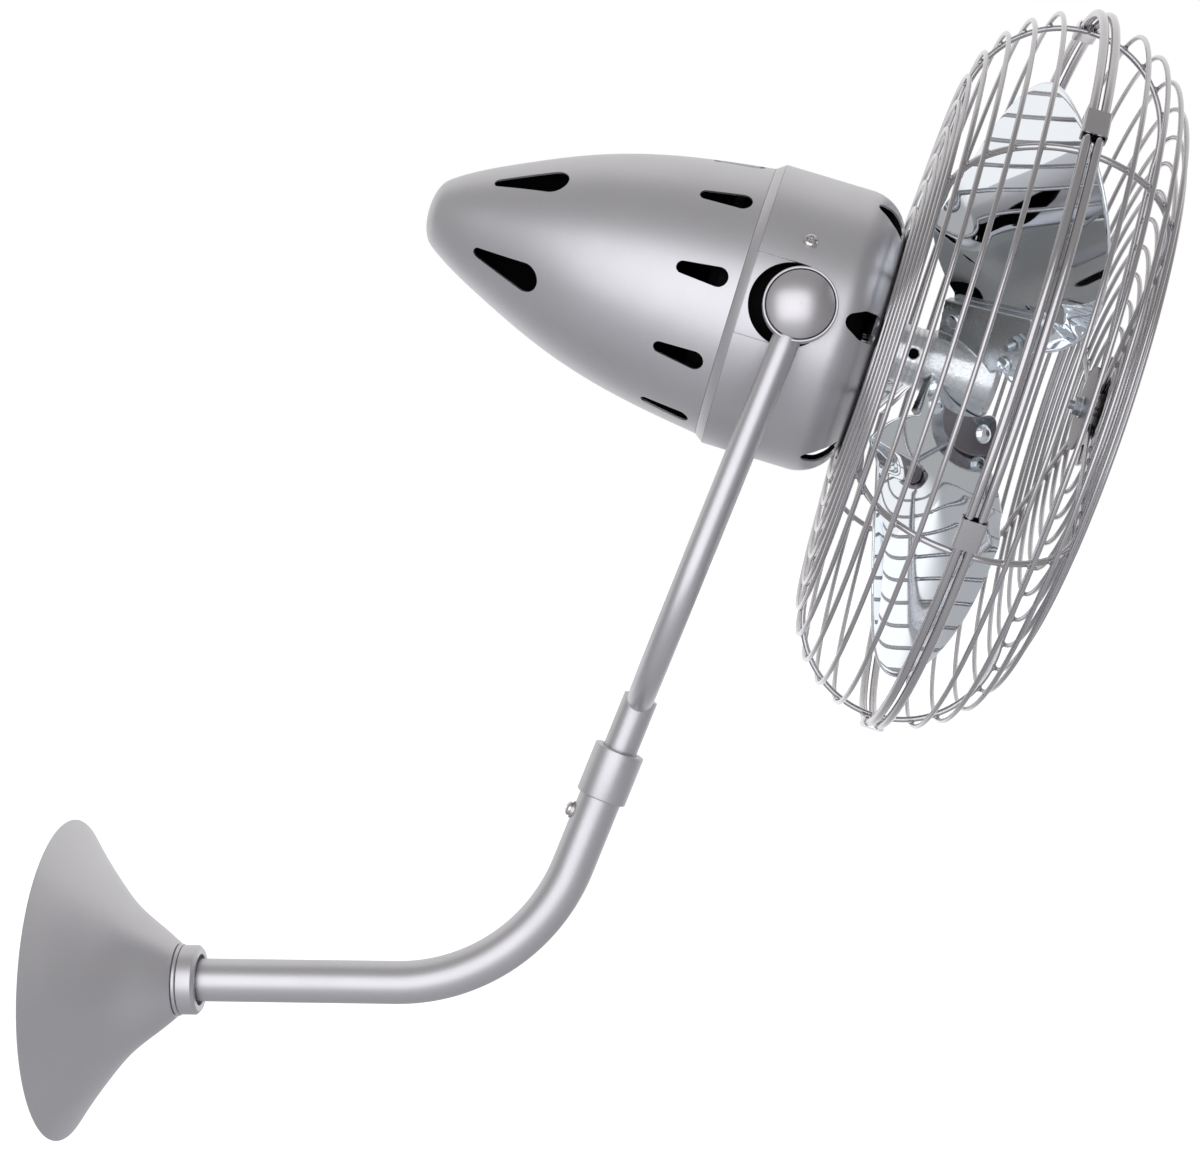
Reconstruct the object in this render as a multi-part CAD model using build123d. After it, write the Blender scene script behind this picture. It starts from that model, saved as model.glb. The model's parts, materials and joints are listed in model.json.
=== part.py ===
from build123d import *
import math
import os

# Wall mounted fan: a flared wall canopy, a bent arm tube, a U-shaped yoke that swivels on the arm,
# and a bullet-shaped motor head with a caged three-blade rotor that tilts between the yoke ears.
#
# Units are millimetres and degrees. The origin is the centre of the wall plate on the wall face,
# +X points out of the wall and +Z points up. Three local frames are used:
#   WALL  z runs out of the wall, x is up, y is to the viewer's side (-Y)
#   ARM   z runs up the slanted arm, y is +Y, and the origin is the tilt pivot
#   HEAD  z runs forwards along the motor shaft, x is the head's own up, y is -Y, origin at the pivot
# In WALL and HEAD an angle phi is measured from x towards y.

# ------------------------------------------------------------------ driving dimensions
# Wall canopy, wall plate and arm socket
CANOPY_RIM_R = 83.4
CANOPY_LENGTH = 58.6
CANOPY_NOSE_R = 19.4
CANOPY_WALL = 1.4
NOSE_RING_R = 18.7
NOSE_RING_T = 2.2
PLATE_R = 62.0
PLATE_T = 3.0
CABLE_HOLE_R = 8.0
WALL_BOLT_SPACING = 88.9
WALL_BOLT_HOLE_R = 2.4
SOCKET_FLANGE_R = 30.0
SOCKET_BARREL_R = 16.5
SOCKET_END = 38.0
SOCKET_BOLT_CIRCLE_R = 23.0
SOCKET_GRUB_AT = 28.0
COLLAR_R = 18.0
COLLAR_LENGTH = 9.5
TERMINAL_X = -41.0

# M4 screws, used throughout, and the grub screws
SCREW_R = 2.0
SCREW_HOLE_R = 2.05
GRUB_R = 2.5
SMALL_GRUB_R = 1.5

# Arm tube
TUBE_R = 11.1
TUBE_BORE_R = 9.05
TUBE_START = 8.0
BEND_R = 100.0
ARM_ANGLE = 68.0
ARM_CORNER_X = 241.5
CORNER_TO_PIVOT = 370.8
TUBE_TOP = -246.0
COUPLING_LOW = -264.8
COUPLING_HIGH = -238.1
COUPLING_R = 13.25
SWIVEL_SCREW_AT = -276.4

# Yoke
STEM_R = 9.0
STEM_BORE_R = 6.0
STEM_LOW = -300.0
ROD_R = 6.9
ROD_BORE_R = 5.0
YOKE_HALF_WIDTH = 82.0
YOKE_BEND_AT = -127.0
EAR_R = 17.85
EAR_INNER = 75.5
EAR_OUTER = 88.5
CAP_R = 16.4
CAP_TOP = 94.0
STUD_R = 4.0
RUNNING_GAP = 0.05

# Motor housing, measured forwards from the pivot
HEAD_TILT = 17.18
TAIL_END = -195.9
SEAM = -31.4
LIP_END = -26.6
LIP_T = 1.1
HOUSING_R = 73.4
HOUSING_WALL = 1.0
HOUSING_FACE = 41.2
FACE_HOLE_R = 17.5
SHOULDER_R = 22.7
BAND_R = 72.3
BAND_WALL = 1.2
BAND_FRONT = 20.0
NOTCH_R = 20.4
NOTCH_AT = -4.3
HOUSING_SCREW_PHI = (64.0, 116.0, 244.0, 296.0)
HOUSING_SCREW_AT = -4.1
TAB_R = 68.4
TAB_T = 1.2
FRONT_SLOTS = 10
FRONT_SLOT_PHI = 15.5
FRONT_SLOT_LOW = -62.4
FRONT_SLOT_HIGH = -36.4
FRONT_SLOT_LOW_R = 3.1
FRONT_SLOT_HIGH_R = 4.9
TAIL_SLOT_PHI = (52.3, 119.1, 192.4, 265.7, 339.0)
TAIL_SLOT_LOW = -164.0
TAIL_SLOT_HIGH = -127.0
TAIL_SLOT_LOW_R = 2.6
TAIL_SLOT_HIGH_R = 7.4

# Heart-shaped vents on the housing's shoulder: circles as (forwards over the shoulder, to one side, radius)
VENT_PHI = (32.0, 89.4, 156.0, 212.0, 269.4, 336.0)
VENT_TURN = 38.4
VENT_POINT = (-6.0, 0.0, 4.5)
VENT_WAIST = (-0.2, 2.2, 5.0)
VENT_LOBE = (6.8, 3.6, 3.6)

# Motor
FRAME_R = 60.0
FRAME_INNER_R = 53.2
FRAME_FRONT = 32.0
FRAME_SPLIT = -18.0
FRAME_REAR = -46.0
BOSS_R = 15.0
BOSS_FACE = 73.0
BUSH_R = 5.98
SHAFT_R = 3.95
BEARING_BORE_R = 4.0
BEARING_R = 11.0
BEARING_WIDTH = 7.0
FRONT_BEARING_AT = 24.0
REAR_BEARING_AT = -46.0
STATOR_R = 53.0
STATOR_BORE_R = 34.6
STACK_LOW = -30.0
STACK_HIGH = 8.0
TIE_BOLT_CIRCLE_R = 56.6
TIE_BOLT_HEAD_R = 2.9
POST_CIRCLE_R = 40.0
POST_R = 5.0
CAN_R = 14.0
CAN_OFFSET = 15.9
CAN_LOW = -108.0
CAN_HIGH = -60.0
STRAP_LOW = -92.0
STRAP_WIDTH = 14.0
BRACKET_T = 1.5
BRACKET_EDGE = ((24.0, -172.0), (31.0, -158.0), (46.5, -120.0), (50.0, -90.0), (50.0, -60.0), (15.0, -50.1))

# Cage: rings lie outside six ribs a side, the two halves meet at a pair of rims
CAGE_MID = 98.6
RIB_R = 1.5
RING_R = 1.25
RIM_WIRE_R = 2.15
RIM_HALF_GAP = 2.65
RIB_ARC_CENTRE_R = 130.0
RIB_ARC_R = 51.05
RIB_SLOPE = 3.8
RING_PITCH = 13.9
FRONT_FIRST_RING_R = 43.2
FRONT_FACE_RINGS = 7
REAR_FIRST_RING_R = 71.0
REAR_FACE_RINGS = 5
SHOULDER_RING_ANGLE = 10.3
SHOULDER_RING_STEP = 14.4
SHOULDER_RINGS = 5
RIBS = 6
WELD = 0.1
MOUNT_RING_R = 60.0
MOUNT_RING_T = 1.5
BADGE_R = 29.0
BADGE_BOLT_R = 2.4

# Rotor
BLADES = 3
FIRST_BLADE_PHI = 44.0
BLADE_AT = 93.25
BLADE_CENTRE_U = 96.3
BLADE_HALF_LENGTH = 65.5
BLADE_HALF_CHORD = 57.0
BLADE_T = 1.5
ROOT_PITCH = 54.0
MID_PITCH = 38.4
TIP_PITCH = 24.0
BLADE_CAMBER = 0.004
ROOT_CAMBER = 0.00002
ROOT_FLAT_END = 58.0
PAD_T = 5.0
HUB_GRUB_AT = 62.0
HUB_BACK = 52.0
HUB_FRONT = 107.0

# Fasteners of a blade root, as (distance out from the shaft, place along the chord)
RIVET_PLACES = ((25.0, -16.5), (25.0, 19.5))
RIVET_R = 2.5
BLADE_BOLT_PLACES = ((41.0, 21.5),)
BLADE_BOLT_R = 1.9

# ------------------------------------------------------------------ frames
arm_dir = Vector(math.cos(math.radians(ARM_ANGLE)), 0, math.sin(math.radians(ARM_ANGLE)))
pivot = Vector(ARM_CORNER_X, 0, 0) + arm_dir * CORNER_TO_PIVOT
tilt = math.radians(HEAD_TILT)
WALL = Plane(origin=(0, 0, 0), x_dir=(0, 0, 1), z_dir=(1, 0, 0))
ARM = Plane(origin=pivot, x_dir=(arm_dir.Z, 0, -arm_dir.X), z_dir=arm_dir)
HEAD = Plane(
    origin=pivot,
    x_dir=(math.sin(tilt), 0, math.cos(tilt)),
    z_dir=(math.cos(tilt), 0, -math.sin(tilt)),
)


# ------------------------------------------------------------------ helpers
def tube(outer_r, inner_r, low, high):
    """A hollow cylinder about z, or a solid one if inner_r is 0."""
    disc = Circle(outer_r)
    if inner_r > 0:
        disc = disc - Circle(inner_r)
    return Pos(0, 0, low) * extrude(disc, high - low)


def lathe(outline):
    """Turns a closed outline, drawn as (radius, station), about z."""
    return revolve(Plane.XZ * outline, Axis.Z)


def lathe_points(points):
    return lathe(make_face(Polyline(*points, close=True)))


def inset_curve(curve, wall, first, count):
    """Smooth curve from the point first, then a wall's thickness to the left of another curve."""
    points = [Vector(*first)]
    for i in range(1, count + 1):
        along = i / count
        heading = curve % along
        points.append(curve @ along + Vector(-heading.Y, heading.X) * wall)
    return Spline(*points)


def around(shape, count, first):
    """Copies of a shape spaced evenly about z."""
    return [Rot(0, 0, first + 360.0 * i / count) * shape for i in range(count)]


def radial(shape, phi, station):
    """Stands a shape drawn along z on the radius at angle phi, crossing the axis at the station."""
    return Rot(0, 0, phi) * Pos(0, 0, station) * Rot(0, 90, 0) * shape


def across(shape):
    """Lays a shape drawn along z down on the y axis of its frame, z becoming +y."""
    return Rot(-90, 0, 0) * shape


def mirrored(shape):
    return mirror(shape, about=Plane.XZ)


def both_sides(shape):
    return [shape, mirrored(shape)]


def drill_circle(shape, circle_r, low, high):
    """Cuts four screw holes along z, evenly spaced on a circle."""
    for hole in around(Pos(circle_r, 0, 0) * tube(SCREW_HOLE_R, 0, low, high), 4, 45):
        shape -= hole
    return shape


def drill_sides(shape, hole_r, low, high):
    """Cuts the four radial holes of the housing screws."""
    for phi in HOUSING_SCREW_PHI:
        shape -= radial(tube(hole_r, 0, low, high), phi, HOUSING_SCREW_AT)
    return shape


def dome_arc(radius, edge, top):
    """Arc of a sphere centred on the axis, from its edge at the radius to its top on the axis."""
    rise = top - edge
    sphere_r = (radius ** 2 + rise ** 2) / (2 * rise)
    half_turn = math.asin(radius / sphere_r) / 2
    middle = (sphere_r * math.sin(half_turn), top - sphere_r * (1 - math.cos(half_turn)))
    return ThreePointArc((radius, edge), middle, (0, top))


def dome(radius, edge, top):
    """A round solid standing on z = 0, with a plain edge and a spherical top."""
    outline = [Line((0, 0), (radius, 0)), dome_arc(radius, edge, top), Line((0, top), (0, 0))]
    if edge > 0:
        outline.append(Line((radius, 0), (radius, edge)))
    return lathe(make_face(outline))


def pan_head(radius, height):
    """A low domed screw head standing on z = 0."""
    return dome(radius, height * 0.4, height)


def pan_screw(head_r, head_h, shank_r, shank_length):
    """A cross-recess screw whose head stands on z = 0 and whose shank goes down."""
    slot_w = head_r * 0.34
    slot = Box(head_r * 1.2, slot_w, head_h) + Box(slot_w, head_r * 1.2, head_h)
    body = pan_head(head_r, head_h) + tube(shank_r, 0, -shank_length, 0.01)
    return body - Pos(0, 0, head_h) * slot


def hex_prism(across_flats, low, high):
    prism = extrude(RegularPolygon(across_flats / 2, 6, major_radius=False), high - low)
    return Pos(0, 0, low) * prism


def round_two(first, second):
    """Flat outline drawn tight round two circles, each given as (x, y, radius)."""
    edges = []
    for x, y, radius in (first, second):
        edges.extend((Pos(x, y) * Circle(radius)).edges())
    return make_hull(edges)


def teardrop(low, high, low_r, high_r):
    """Outline of a slot between two stations, rounded to the given radii, x running along the axis."""
    return round_two((low + low_r, 0, low_r), (high - high_r, 0, high_r))


def radial_cutter(outline, phi, inner_r, outer_r):
    """Punches an outline, drawn with x along the axis, through a shell wall at angle phi."""
    side = Plane(origin=(inner_r, 0, 0), x_dir=(0, 0, 1), z_dir=(1, 0, 0))
    return Rot(0, 0, phi) * (side * extrude(outline, outer_r - inner_r))


os.makedirs("parts", exist_ok=True)


def save(node, shape, frame=None):
    """Writes a sub-part, or a group of separate solids, in the object's frame."""
    pieces = shape if isinstance(shape, (list, tuple)) else [shape]
    solids = []
    for piece in pieces:
        placed = frame * piece if frame is not None else piece
        solids.extend(placed.solids())
    whole = solids[0] if len(solids) == 1 else Compound(children=solids)
    whole.label = node
    export_step(whole, f"parts/{node}.step")


# ------------------------------------------------------------------ wall side
def make_canopy():
    """Flared shell from the rim on the wall to the nose, with an inward lip round the tube."""
    outer = Spline(
        (CANOPY_RIM_R, 0), (68.6, 10.0), (54.0, 21.0), (38.2, 35.0), (26.4, 50.0),
        (CANOPY_NOSE_R, CANOPY_LENGTH),
    )
    rim_inside = (CANOPY_RIM_R - 2.3, 0)
    inner = inset_curve(outer, CANOPY_WALL, rim_inside, 12)
    nose = inner @ 1
    hole_r = TUBE_R + 1.2
    lip = CANOPY_LENGTH - CANOPY_WALL
    edges = [outer, inner, Line(outer @ 0, inner @ 0)]
    edges += Polyline(outer @ 1, (hole_r, CANOPY_LENGTH), (hole_r, lip), (nose.X - 1, lip), nose).edges()
    return lathe(make_face(edges))


def make_wall_plate():
    plate = tube(PLATE_R, CABLE_HOLE_R, 0, PLATE_T)
    for side in (-1, 1):
        plate -= Pos(0, side * WALL_BOLT_SPACING / 2, 0) * tube(WALL_BOLT_HOLE_R, 0, -1, PLATE_T + 1)
    return drill_circle(plate, SOCKET_BOLT_CIRCLE_R, -1, PLATE_T + 1)


def make_arm_socket():
    """Flanged barrel on the wall plate that takes the arm tube against a shoulder."""
    flange_top = PLATE_T + 5
    fillet_r = 1.6
    bore_r = TUBE_R + 0.05
    socket = lathe_points([
        (CABLE_HOLE_R, PLATE_T), (SOCKET_FLANGE_R, PLATE_T), (SOCKET_FLANGE_R, flange_top),
        (SOCKET_BARREL_R + fillet_r, flange_top), (SOCKET_BARREL_R, flange_top + fillet_r),
        (SOCKET_BARREL_R, SOCKET_END), (bore_r, SOCKET_END), (bore_r, TUBE_START), (CABLE_HOLE_R, TUBE_START),
    ])
    socket = drill_circle(socket, SOCKET_BOLT_CIRCLE_R, PLATE_T - 1, flange_top + 4)
    return socket - radial(tube(GRUB_R + 0.05, 0, 10, 20), 0, SOCKET_GRUB_AT)


def make_socket_screws():
    """Four screws through the socket's flange and the wall plate, each on a washer."""
    washer_low = PLATE_T + 5.02
    washer_high = washer_low + 1.36
    washer = Pos(SOCKET_BOLT_CIRCLE_R, 0, 0) * tube(4.4, SCREW_HOLE_R, washer_low, washer_high)
    screw = Pos(SOCKET_BOLT_CIRCLE_R, 0, washer_high + 0.02) * pan_screw(3.8, 2.4, SCREW_R, 8.6)
    return around(screw, 4, 45) + around(washer, 4, 45)


def make_arm_tube():
    """Tube that runs level out of the wall and bends up to the yoke."""
    tangent = BEND_R * math.tan(math.radians(ARM_ANGLE / 2))
    bend_start = (ARM_CORNER_X - tangent, 0)
    bend_end = Vector(ARM_CORNER_X, 0, 0) + arm_dir * tangent
    end = pivot + arm_dir * TUBE_TOP
    route = Plane.XZ * (
        Line((TUBE_START, 0), bend_start)
        + TangentArc(bend_start, (bend_end.X, bend_end.Z), tangent=(1, 0))
        + Line((bend_end.X, bend_end.Z), (end.X, end.Z))
    )
    section = Plane(origin=(TUBE_START, 0, 0), z_dir=(1, 0, 0)) * (Circle(TUBE_R) - Circle(TUBE_BORE_R))
    return sweep(section, path=route) - ARM * radial(tube(SCREW_HOLE_R, 0, 5, 20), 180, SWIVEL_SCREW_AT)


def make_coupling():
    """Sleeve on the tube's end, with a smaller bore above it that the yoke's stem turns in."""
    edge = 0.7
    tube_bore_r = TUBE_R + 0.05
    stem_bore_r = STEM_R + RUNNING_GAP
    return lathe_points([
        (tube_bore_r, COUPLING_LOW), (COUPLING_R - edge, COUPLING_LOW), (COUPLING_R, COUPLING_LOW + edge),
        (COUPLING_R, COUPLING_HIGH - edge), (COUPLING_R - edge, COUPLING_HIGH),
        (stem_bore_r, COUPLING_HIGH), (stem_bore_r, TUBE_TOP), (tube_bore_r, TUBE_TOP),
    ])


collar_back = CANOPY_LENGTH + NOSE_RING_T + 0.2
collar_grub_at = collar_back + 3


def make_collar():
    """Lock collar that holds the canopy to the wall, counterbored at its front."""
    front = collar_back + COLLAR_LENGTH
    edge = 1.6
    bore_r = TUBE_R + 0.3
    mouth_r = TUBE_R + 2.1
    collar = lathe_points([
        (bore_r, collar_back), (COLLAR_R, collar_back), (COLLAR_R, front - edge), (COLLAR_R - edge, front),
        (mouth_r, front), (mouth_r, front - 4), (bore_r, front - 4),
    ])
    return collar - radial(tube(SMALL_GRUB_R + 0.05, 0, 10, 20), 180, collar_grub_at)


def make_arm_grub_screws():
    socket_grub = radial(tube(GRUB_R, 0, TUBE_R + 0.02, SOCKET_BARREL_R - 0.5), 0, SOCKET_GRUB_AT)
    collar_grub = radial(tube(SMALL_GRUB_R, 0, TUBE_R + 0.02, COLLAR_R - 0.6), 180, collar_grub_at)
    return [socket_grub, collar_grub]


def at_terminals(shape):
    """Copies of a shape at the three ways of the terminal block, standing on the wall plate."""
    return [Pos(TERMINAL_X, y, PLATE_T) * shape for y in (-9, 0, 9)]


def make_terminal_block():
    block = Pos(TERMINAL_X, 0, PLATE_T + 6) * Box(13, 28, 12)
    for way in at_terminals(tube(2.6, 0, 6, 13)):
        block -= way
    return block


save("wall_canopy", make_canopy(), WALL)
save("wall_plate", make_wall_plate(), WALL)
save("arm_socket", make_arm_socket(), WALL)
save("socket_screws", make_socket_screws(), WALL)
nose_ring_low = CANOPY_LENGTH + 0.1
save("canopy_ring", tube(NOSE_RING_R, TUBE_R + 0.6, nose_ring_low, nose_ring_low + NOSE_RING_T), WALL)
save("canopy_collar", make_collar(), WALL)
save("arm_grub_screws", make_arm_grub_screws(), WALL)
save("terminal_block", make_terminal_block(), WALL)
save("terminal_screws", at_terminals(Pos(0, 0, 9.4) * pan_screw(2.4, 1.6, 1.4, 3.2)), WALL)
save("arm_tube", make_arm_tube())
save("arm_coupling", make_coupling(), ARM)

tube_body = tube(TUBE_R + 0.01, 0, SWIVEL_SCREW_AT - 9, SWIVEL_SCREW_AT + 9)
washer_top = TUBE_R + 0.8
swivel_washer = radial(tube(4.6, SCREW_HOLE_R, TUBE_R - 1.2, washer_top), 180, SWIVEL_SCREW_AT) - tube_body
swivel_screw = radial(Pos(0, 0, washer_top + 0.02) * pan_screw(3.7, 3.0, SCREW_R, 3.5), 180, SWIVEL_SCREW_AT)
save("swivel_washer", swivel_washer, ARM)
save("swivel_screw", swivel_screw, ARM)


# ------------------------------------------------------------------ yoke
def rod_route():
    """U-shaped centreline in the frame's y-z plane: two straight legs and a half circle below."""
    half = YOKE_HALF_WIDTH
    legs = Line((half, 0), (half, YOKE_BEND_AT))
    legs += ThreePointArc((half, YOKE_BEND_AT), (0, YOKE_BEND_AT - half), (-half, YOKE_BEND_AT))
    legs += Line((-half, YOKE_BEND_AT), (-half, 0))
    return Plane(origin=(0, 0, 0), x_dir=(0, 1, 0), z_dir=(1, 0, 0)) * legs


def make_rod(outer_r, inner_r):
    section = Circle(outer_r)
    if inner_r > 0:
        section = section - Circle(inner_r)
    placed = Plane(origin=(0, YOKE_HALF_WIDTH, 0), x_dir=(1, 0, 0), z_dir=(0, 0, -1)) * section
    return sweep(placed, path=rod_route())


def make_ear():
    """One ear on the frame's +y side: an open cup with a web that carries the pivot stud."""
    stud_hole_r = STUD_R + 0.02
    seat_r = CAP_R + 0.05
    well_r = CAP_R - 1.6
    return across(lathe_points([
        (stud_hole_r, EAR_INNER), (EAR_R - 0.8, EAR_INNER), (EAR_R, EAR_INNER + 0.8),
        (EAR_R, EAR_OUTER - 0.7), (EAR_R - 0.5, EAR_OUTER), (seat_r, EAR_OUTER),
        (seat_r, EAR_OUTER - 3), (well_r, EAR_OUTER - 3), (well_r, EAR_INNER + 3),
        (stud_hole_r, EAR_INNER + 3),
    ]))


def make_ear_cap():
    """Pressed dome with its edge seated in the ear."""
    seat = EAR_OUTER - 2.9
    edge = EAR_OUTER + 0.3
    wall = 1.2
    shell = Pos(0, 0, seat) * dome(CAP_R, edge - seat, CAP_TOP - seat)
    shell -= Pos(0, 0, seat - 1) * dome(CAP_R - wall, edge - seat + 0.6, CAP_TOP - seat - wall + 1)
    return across(shell)


def make_stem():
    """Hollow stem that turns in the coupling, grooved for the swivel screw and saddled on the rod."""
    stem = tube(STEM_R, STEM_BORE_R, STEM_LOW, YOKE_BEND_AT - YOKE_HALF_WIDTH)
    groove = tube(STEM_R + 1, STEM_R - 1.1, SWIVEL_SCREW_AT - 3, SWIVEL_SCREW_AT + 3)
    return stem - groove - make_rod(ROD_R + 0.01, 0)


def make_pivot_stud():
    head_low = EAR_INNER + 3.02
    shank = tube(STUD_R, 0, FRAME_R - 2, head_low)
    return across(shank + hex_prism(13.0, head_low, EAR_INNER + 8))


ear_space = across(tube(EAR_R + 0.01, 0, EAR_INNER - 1, EAR_OUTER + 1))
friction_washer = across(tube(12.0, STUD_R + 0.02, BOSS_FACE + 1.3, EAR_INNER - 0.02))
save("yoke_rod", make_rod(ROD_R, ROD_BORE_R) - ear_space - mirrored(ear_space), ARM)
save("yoke_stem", make_stem(), ARM)
save("yoke_ear_far", make_ear(), ARM)
save("yoke_ear_near", mirrored(make_ear()), ARM)
save("ear_cap_far", make_ear_cap(), ARM)
save("ear_cap_near", mirrored(make_ear_cap()), ARM)
save("pivot_studs", both_sides(make_pivot_stud()), ARM)
save("friction_washers", both_sides(friction_washer), ARM)


# ------------------------------------------------------------------ motor housing
def make_rear_housing():
    """Bullet shell with a rounded tail and two rows of slots."""
    tip_r = 36.0
    tip_edge = 11.0
    tip_end = (tip_edge, TAIL_END + tip_r - math.sqrt(tip_r ** 2 - tip_edge ** 2))
    tip_mid = (tip_edge / 2, TAIL_END + tip_r - math.sqrt(tip_r ** 2 - tip_edge ** 2 / 4))
    flank_start = (19.4, -187.4)
    tip = ThreePointArc((0, TAIL_END), tip_mid, tip_end)
    corner = TangentArc(tip_end, flank_start, tangent=tip % 1)
    flank = Spline(flank_start, (35.2, -158.0), (51.3, -120.0), (62.3, -80.4), (69.9, SEAM))
    outer = Wire([tip, corner, flank])
    inner = inset_curve(outer, HOUSING_WALL, (0, TAIL_END + HOUSING_WALL), 24)
    ends = [Line(outer @ 0, inner @ 0), Line(outer @ 1, inner @ 1)]
    shell = lathe(make_face([tip, corner, flank, inner] + ends))
    slot = teardrop(FRONT_SLOT_LOW, FRONT_SLOT_HIGH, FRONT_SLOT_LOW_R, FRONT_SLOT_HIGH_R)
    for i in range(FRONT_SLOTS):
        shell -= radial_cutter(slot, FRONT_SLOT_PHI + 360 / FRONT_SLOTS * i, 40, 90)
    slot = teardrop(TAIL_SLOT_LOW, TAIL_SLOT_HIGH, TAIL_SLOT_LOW_R, TAIL_SLOT_HIGH_R)
    for phi in TAIL_SLOT_PHI:
        shell -= radial_cutter(slot, phi, 10, 90)
    return shell


def make_housing_tabs():
    """Four strips spot-welded inside the rear housing, reaching forwards to the housing screws."""
    low = SEAM - 5.1
    high = 2.0
    strip = tube(TAB_R, TAB_R - TAB_T, low, high) & Pos(TAB_R, 0, (low + high) / 2) * Box(20, 13, 60)
    strip -= radial(tube(SCREW_HOLE_R, 0, 60, 80), 0, HOUSING_SCREW_AT)
    return [Rot(0, 0, phi) * strip for phi in HOUSING_SCREW_PHI]


def pivot_opening(reach_back):
    """Round opening about the pivot on the +y side; reach_back opens it to the seam as a U."""
    cut = radial(tube(NOTCH_R, 0, 40, 90), 90, NOTCH_AT)
    if reach_back:
        cut += Pos(0, 65, NOTCH_AT - 20) * Box(2 * NOTCH_R, 50, 40)
    return cut


def shoulder_arc(radius):
    """Quarter circle from the drum's side to its face."""
    centre_r = HOUSING_R - SHOULDER_R
    centre_s = HOUSING_FACE - SHOULDER_R
    reach = radius * math.sqrt(0.5)
    middle = (centre_r + reach, centre_s + reach)
    return ThreePointArc((centre_r + radius, centre_s), middle, (centre_r, centre_s + radius))


def vent_cutter(phi):
    """Heart with its point at the rear, punched square through the shoulder at the angle phi."""
    heart = None
    for side in (1, -1):
        waist = (VENT_WAIST[0], side * VENT_WAIST[1], VENT_WAIST[2])
        lobe = (VENT_LOBE[0], side * VENT_LOBE[1], VENT_LOBE[2])
        half = round_two(VENT_POINT, waist) + round_two(waist, lobe)
        heart = half if heart is None else heart + half
    turn = math.radians(VENT_TURN)
    outwards = (math.cos(turn), 0, math.sin(turn))
    forwards = (-math.sin(turn), 0, math.cos(turn))
    low_r = SHOULDER_R - 12
    origin = (
        HOUSING_R - SHOULDER_R + low_r * outwards[0],
        0,
        HOUSING_FACE - SHOULDER_R + low_r * outwards[2],
    )
    return Rot(0, 0, phi) * (Plane(origin=origin, x_dir=forwards, z_dir=outwards) * extrude(heart, 24))


def make_front_housing():
    """Drum with a rounded shoulder, a U-shaped notch at each pivot, vents and screw holes."""
    low = LIP_END + 0.05
    inner_r = HOUSING_R - HOUSING_WALL
    inner_face = HOUSING_FACE - HOUSING_WALL
    outer = shoulder_arc(SHOULDER_R)
    inner = shoulder_arc(SHOULDER_R - HOUSING_WALL)
    shell = lathe(make_face([
        outer,
        inner,
        Line((HOUSING_R, low), outer @ 0),
        Line((inner_r, low), inner @ 0),
        Line((HOUSING_R, low), (inner_r, low)),
        Line(outer @ 1, (FACE_HOLE_R, HOUSING_FACE)),
        Line(inner @ 1, (FACE_HOLE_R, inner_face)),
        Line((FACE_HOLE_R, HOUSING_FACE), (FACE_HOLE_R, inner_face)),
    ]))
    for phi in VENT_PHI:
        shell -= vent_cutter(phi)
    for opening in both_sides(pivot_opening(True)):
        shell -= opening
    shell = drill_sides(shell, SCREW_HOLE_R, 60, 80)
    return drill_circle(shell, POST_CIRCLE_R, 30, 50)


def make_band():
    """Inner band behind the drum's notches, with a flared lip that fills the seam."""
    inner_r = BAND_R - BAND_WALL
    lip_low = SEAM + 0.15
    lip_r = 70.0
    band = lathe_points([
        (lip_r - LIP_T, lip_low), (lip_r, lip_low), (HOUSING_R, LIP_END), (BAND_R, LIP_END),
        (BAND_R, BAND_FRONT), (inner_r, BAND_FRONT), (inner_r, LIP_END - 1),
    ])
    for opening in both_sides(pivot_opening(False)):
        band -= opening
    return drill_sides(band, SCREW_HOLE_R, 60, 80)


save("rear_housing", make_rear_housing(), HEAD)
save("housing_tabs", make_housing_tabs(), HEAD)
save("front_housing", make_front_housing(), HEAD)
save("housing_band", make_band(), HEAD)
housing_screw = Pos(0, 0, HOUSING_R + 0.02) * pan_screw(3.5, 2.1, 1.95, 9.5)
save("housing_screws", [radial(housing_screw, phi, HOUSING_SCREW_AT) for phi in HOUSING_SCREW_PHI], HEAD)


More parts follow.
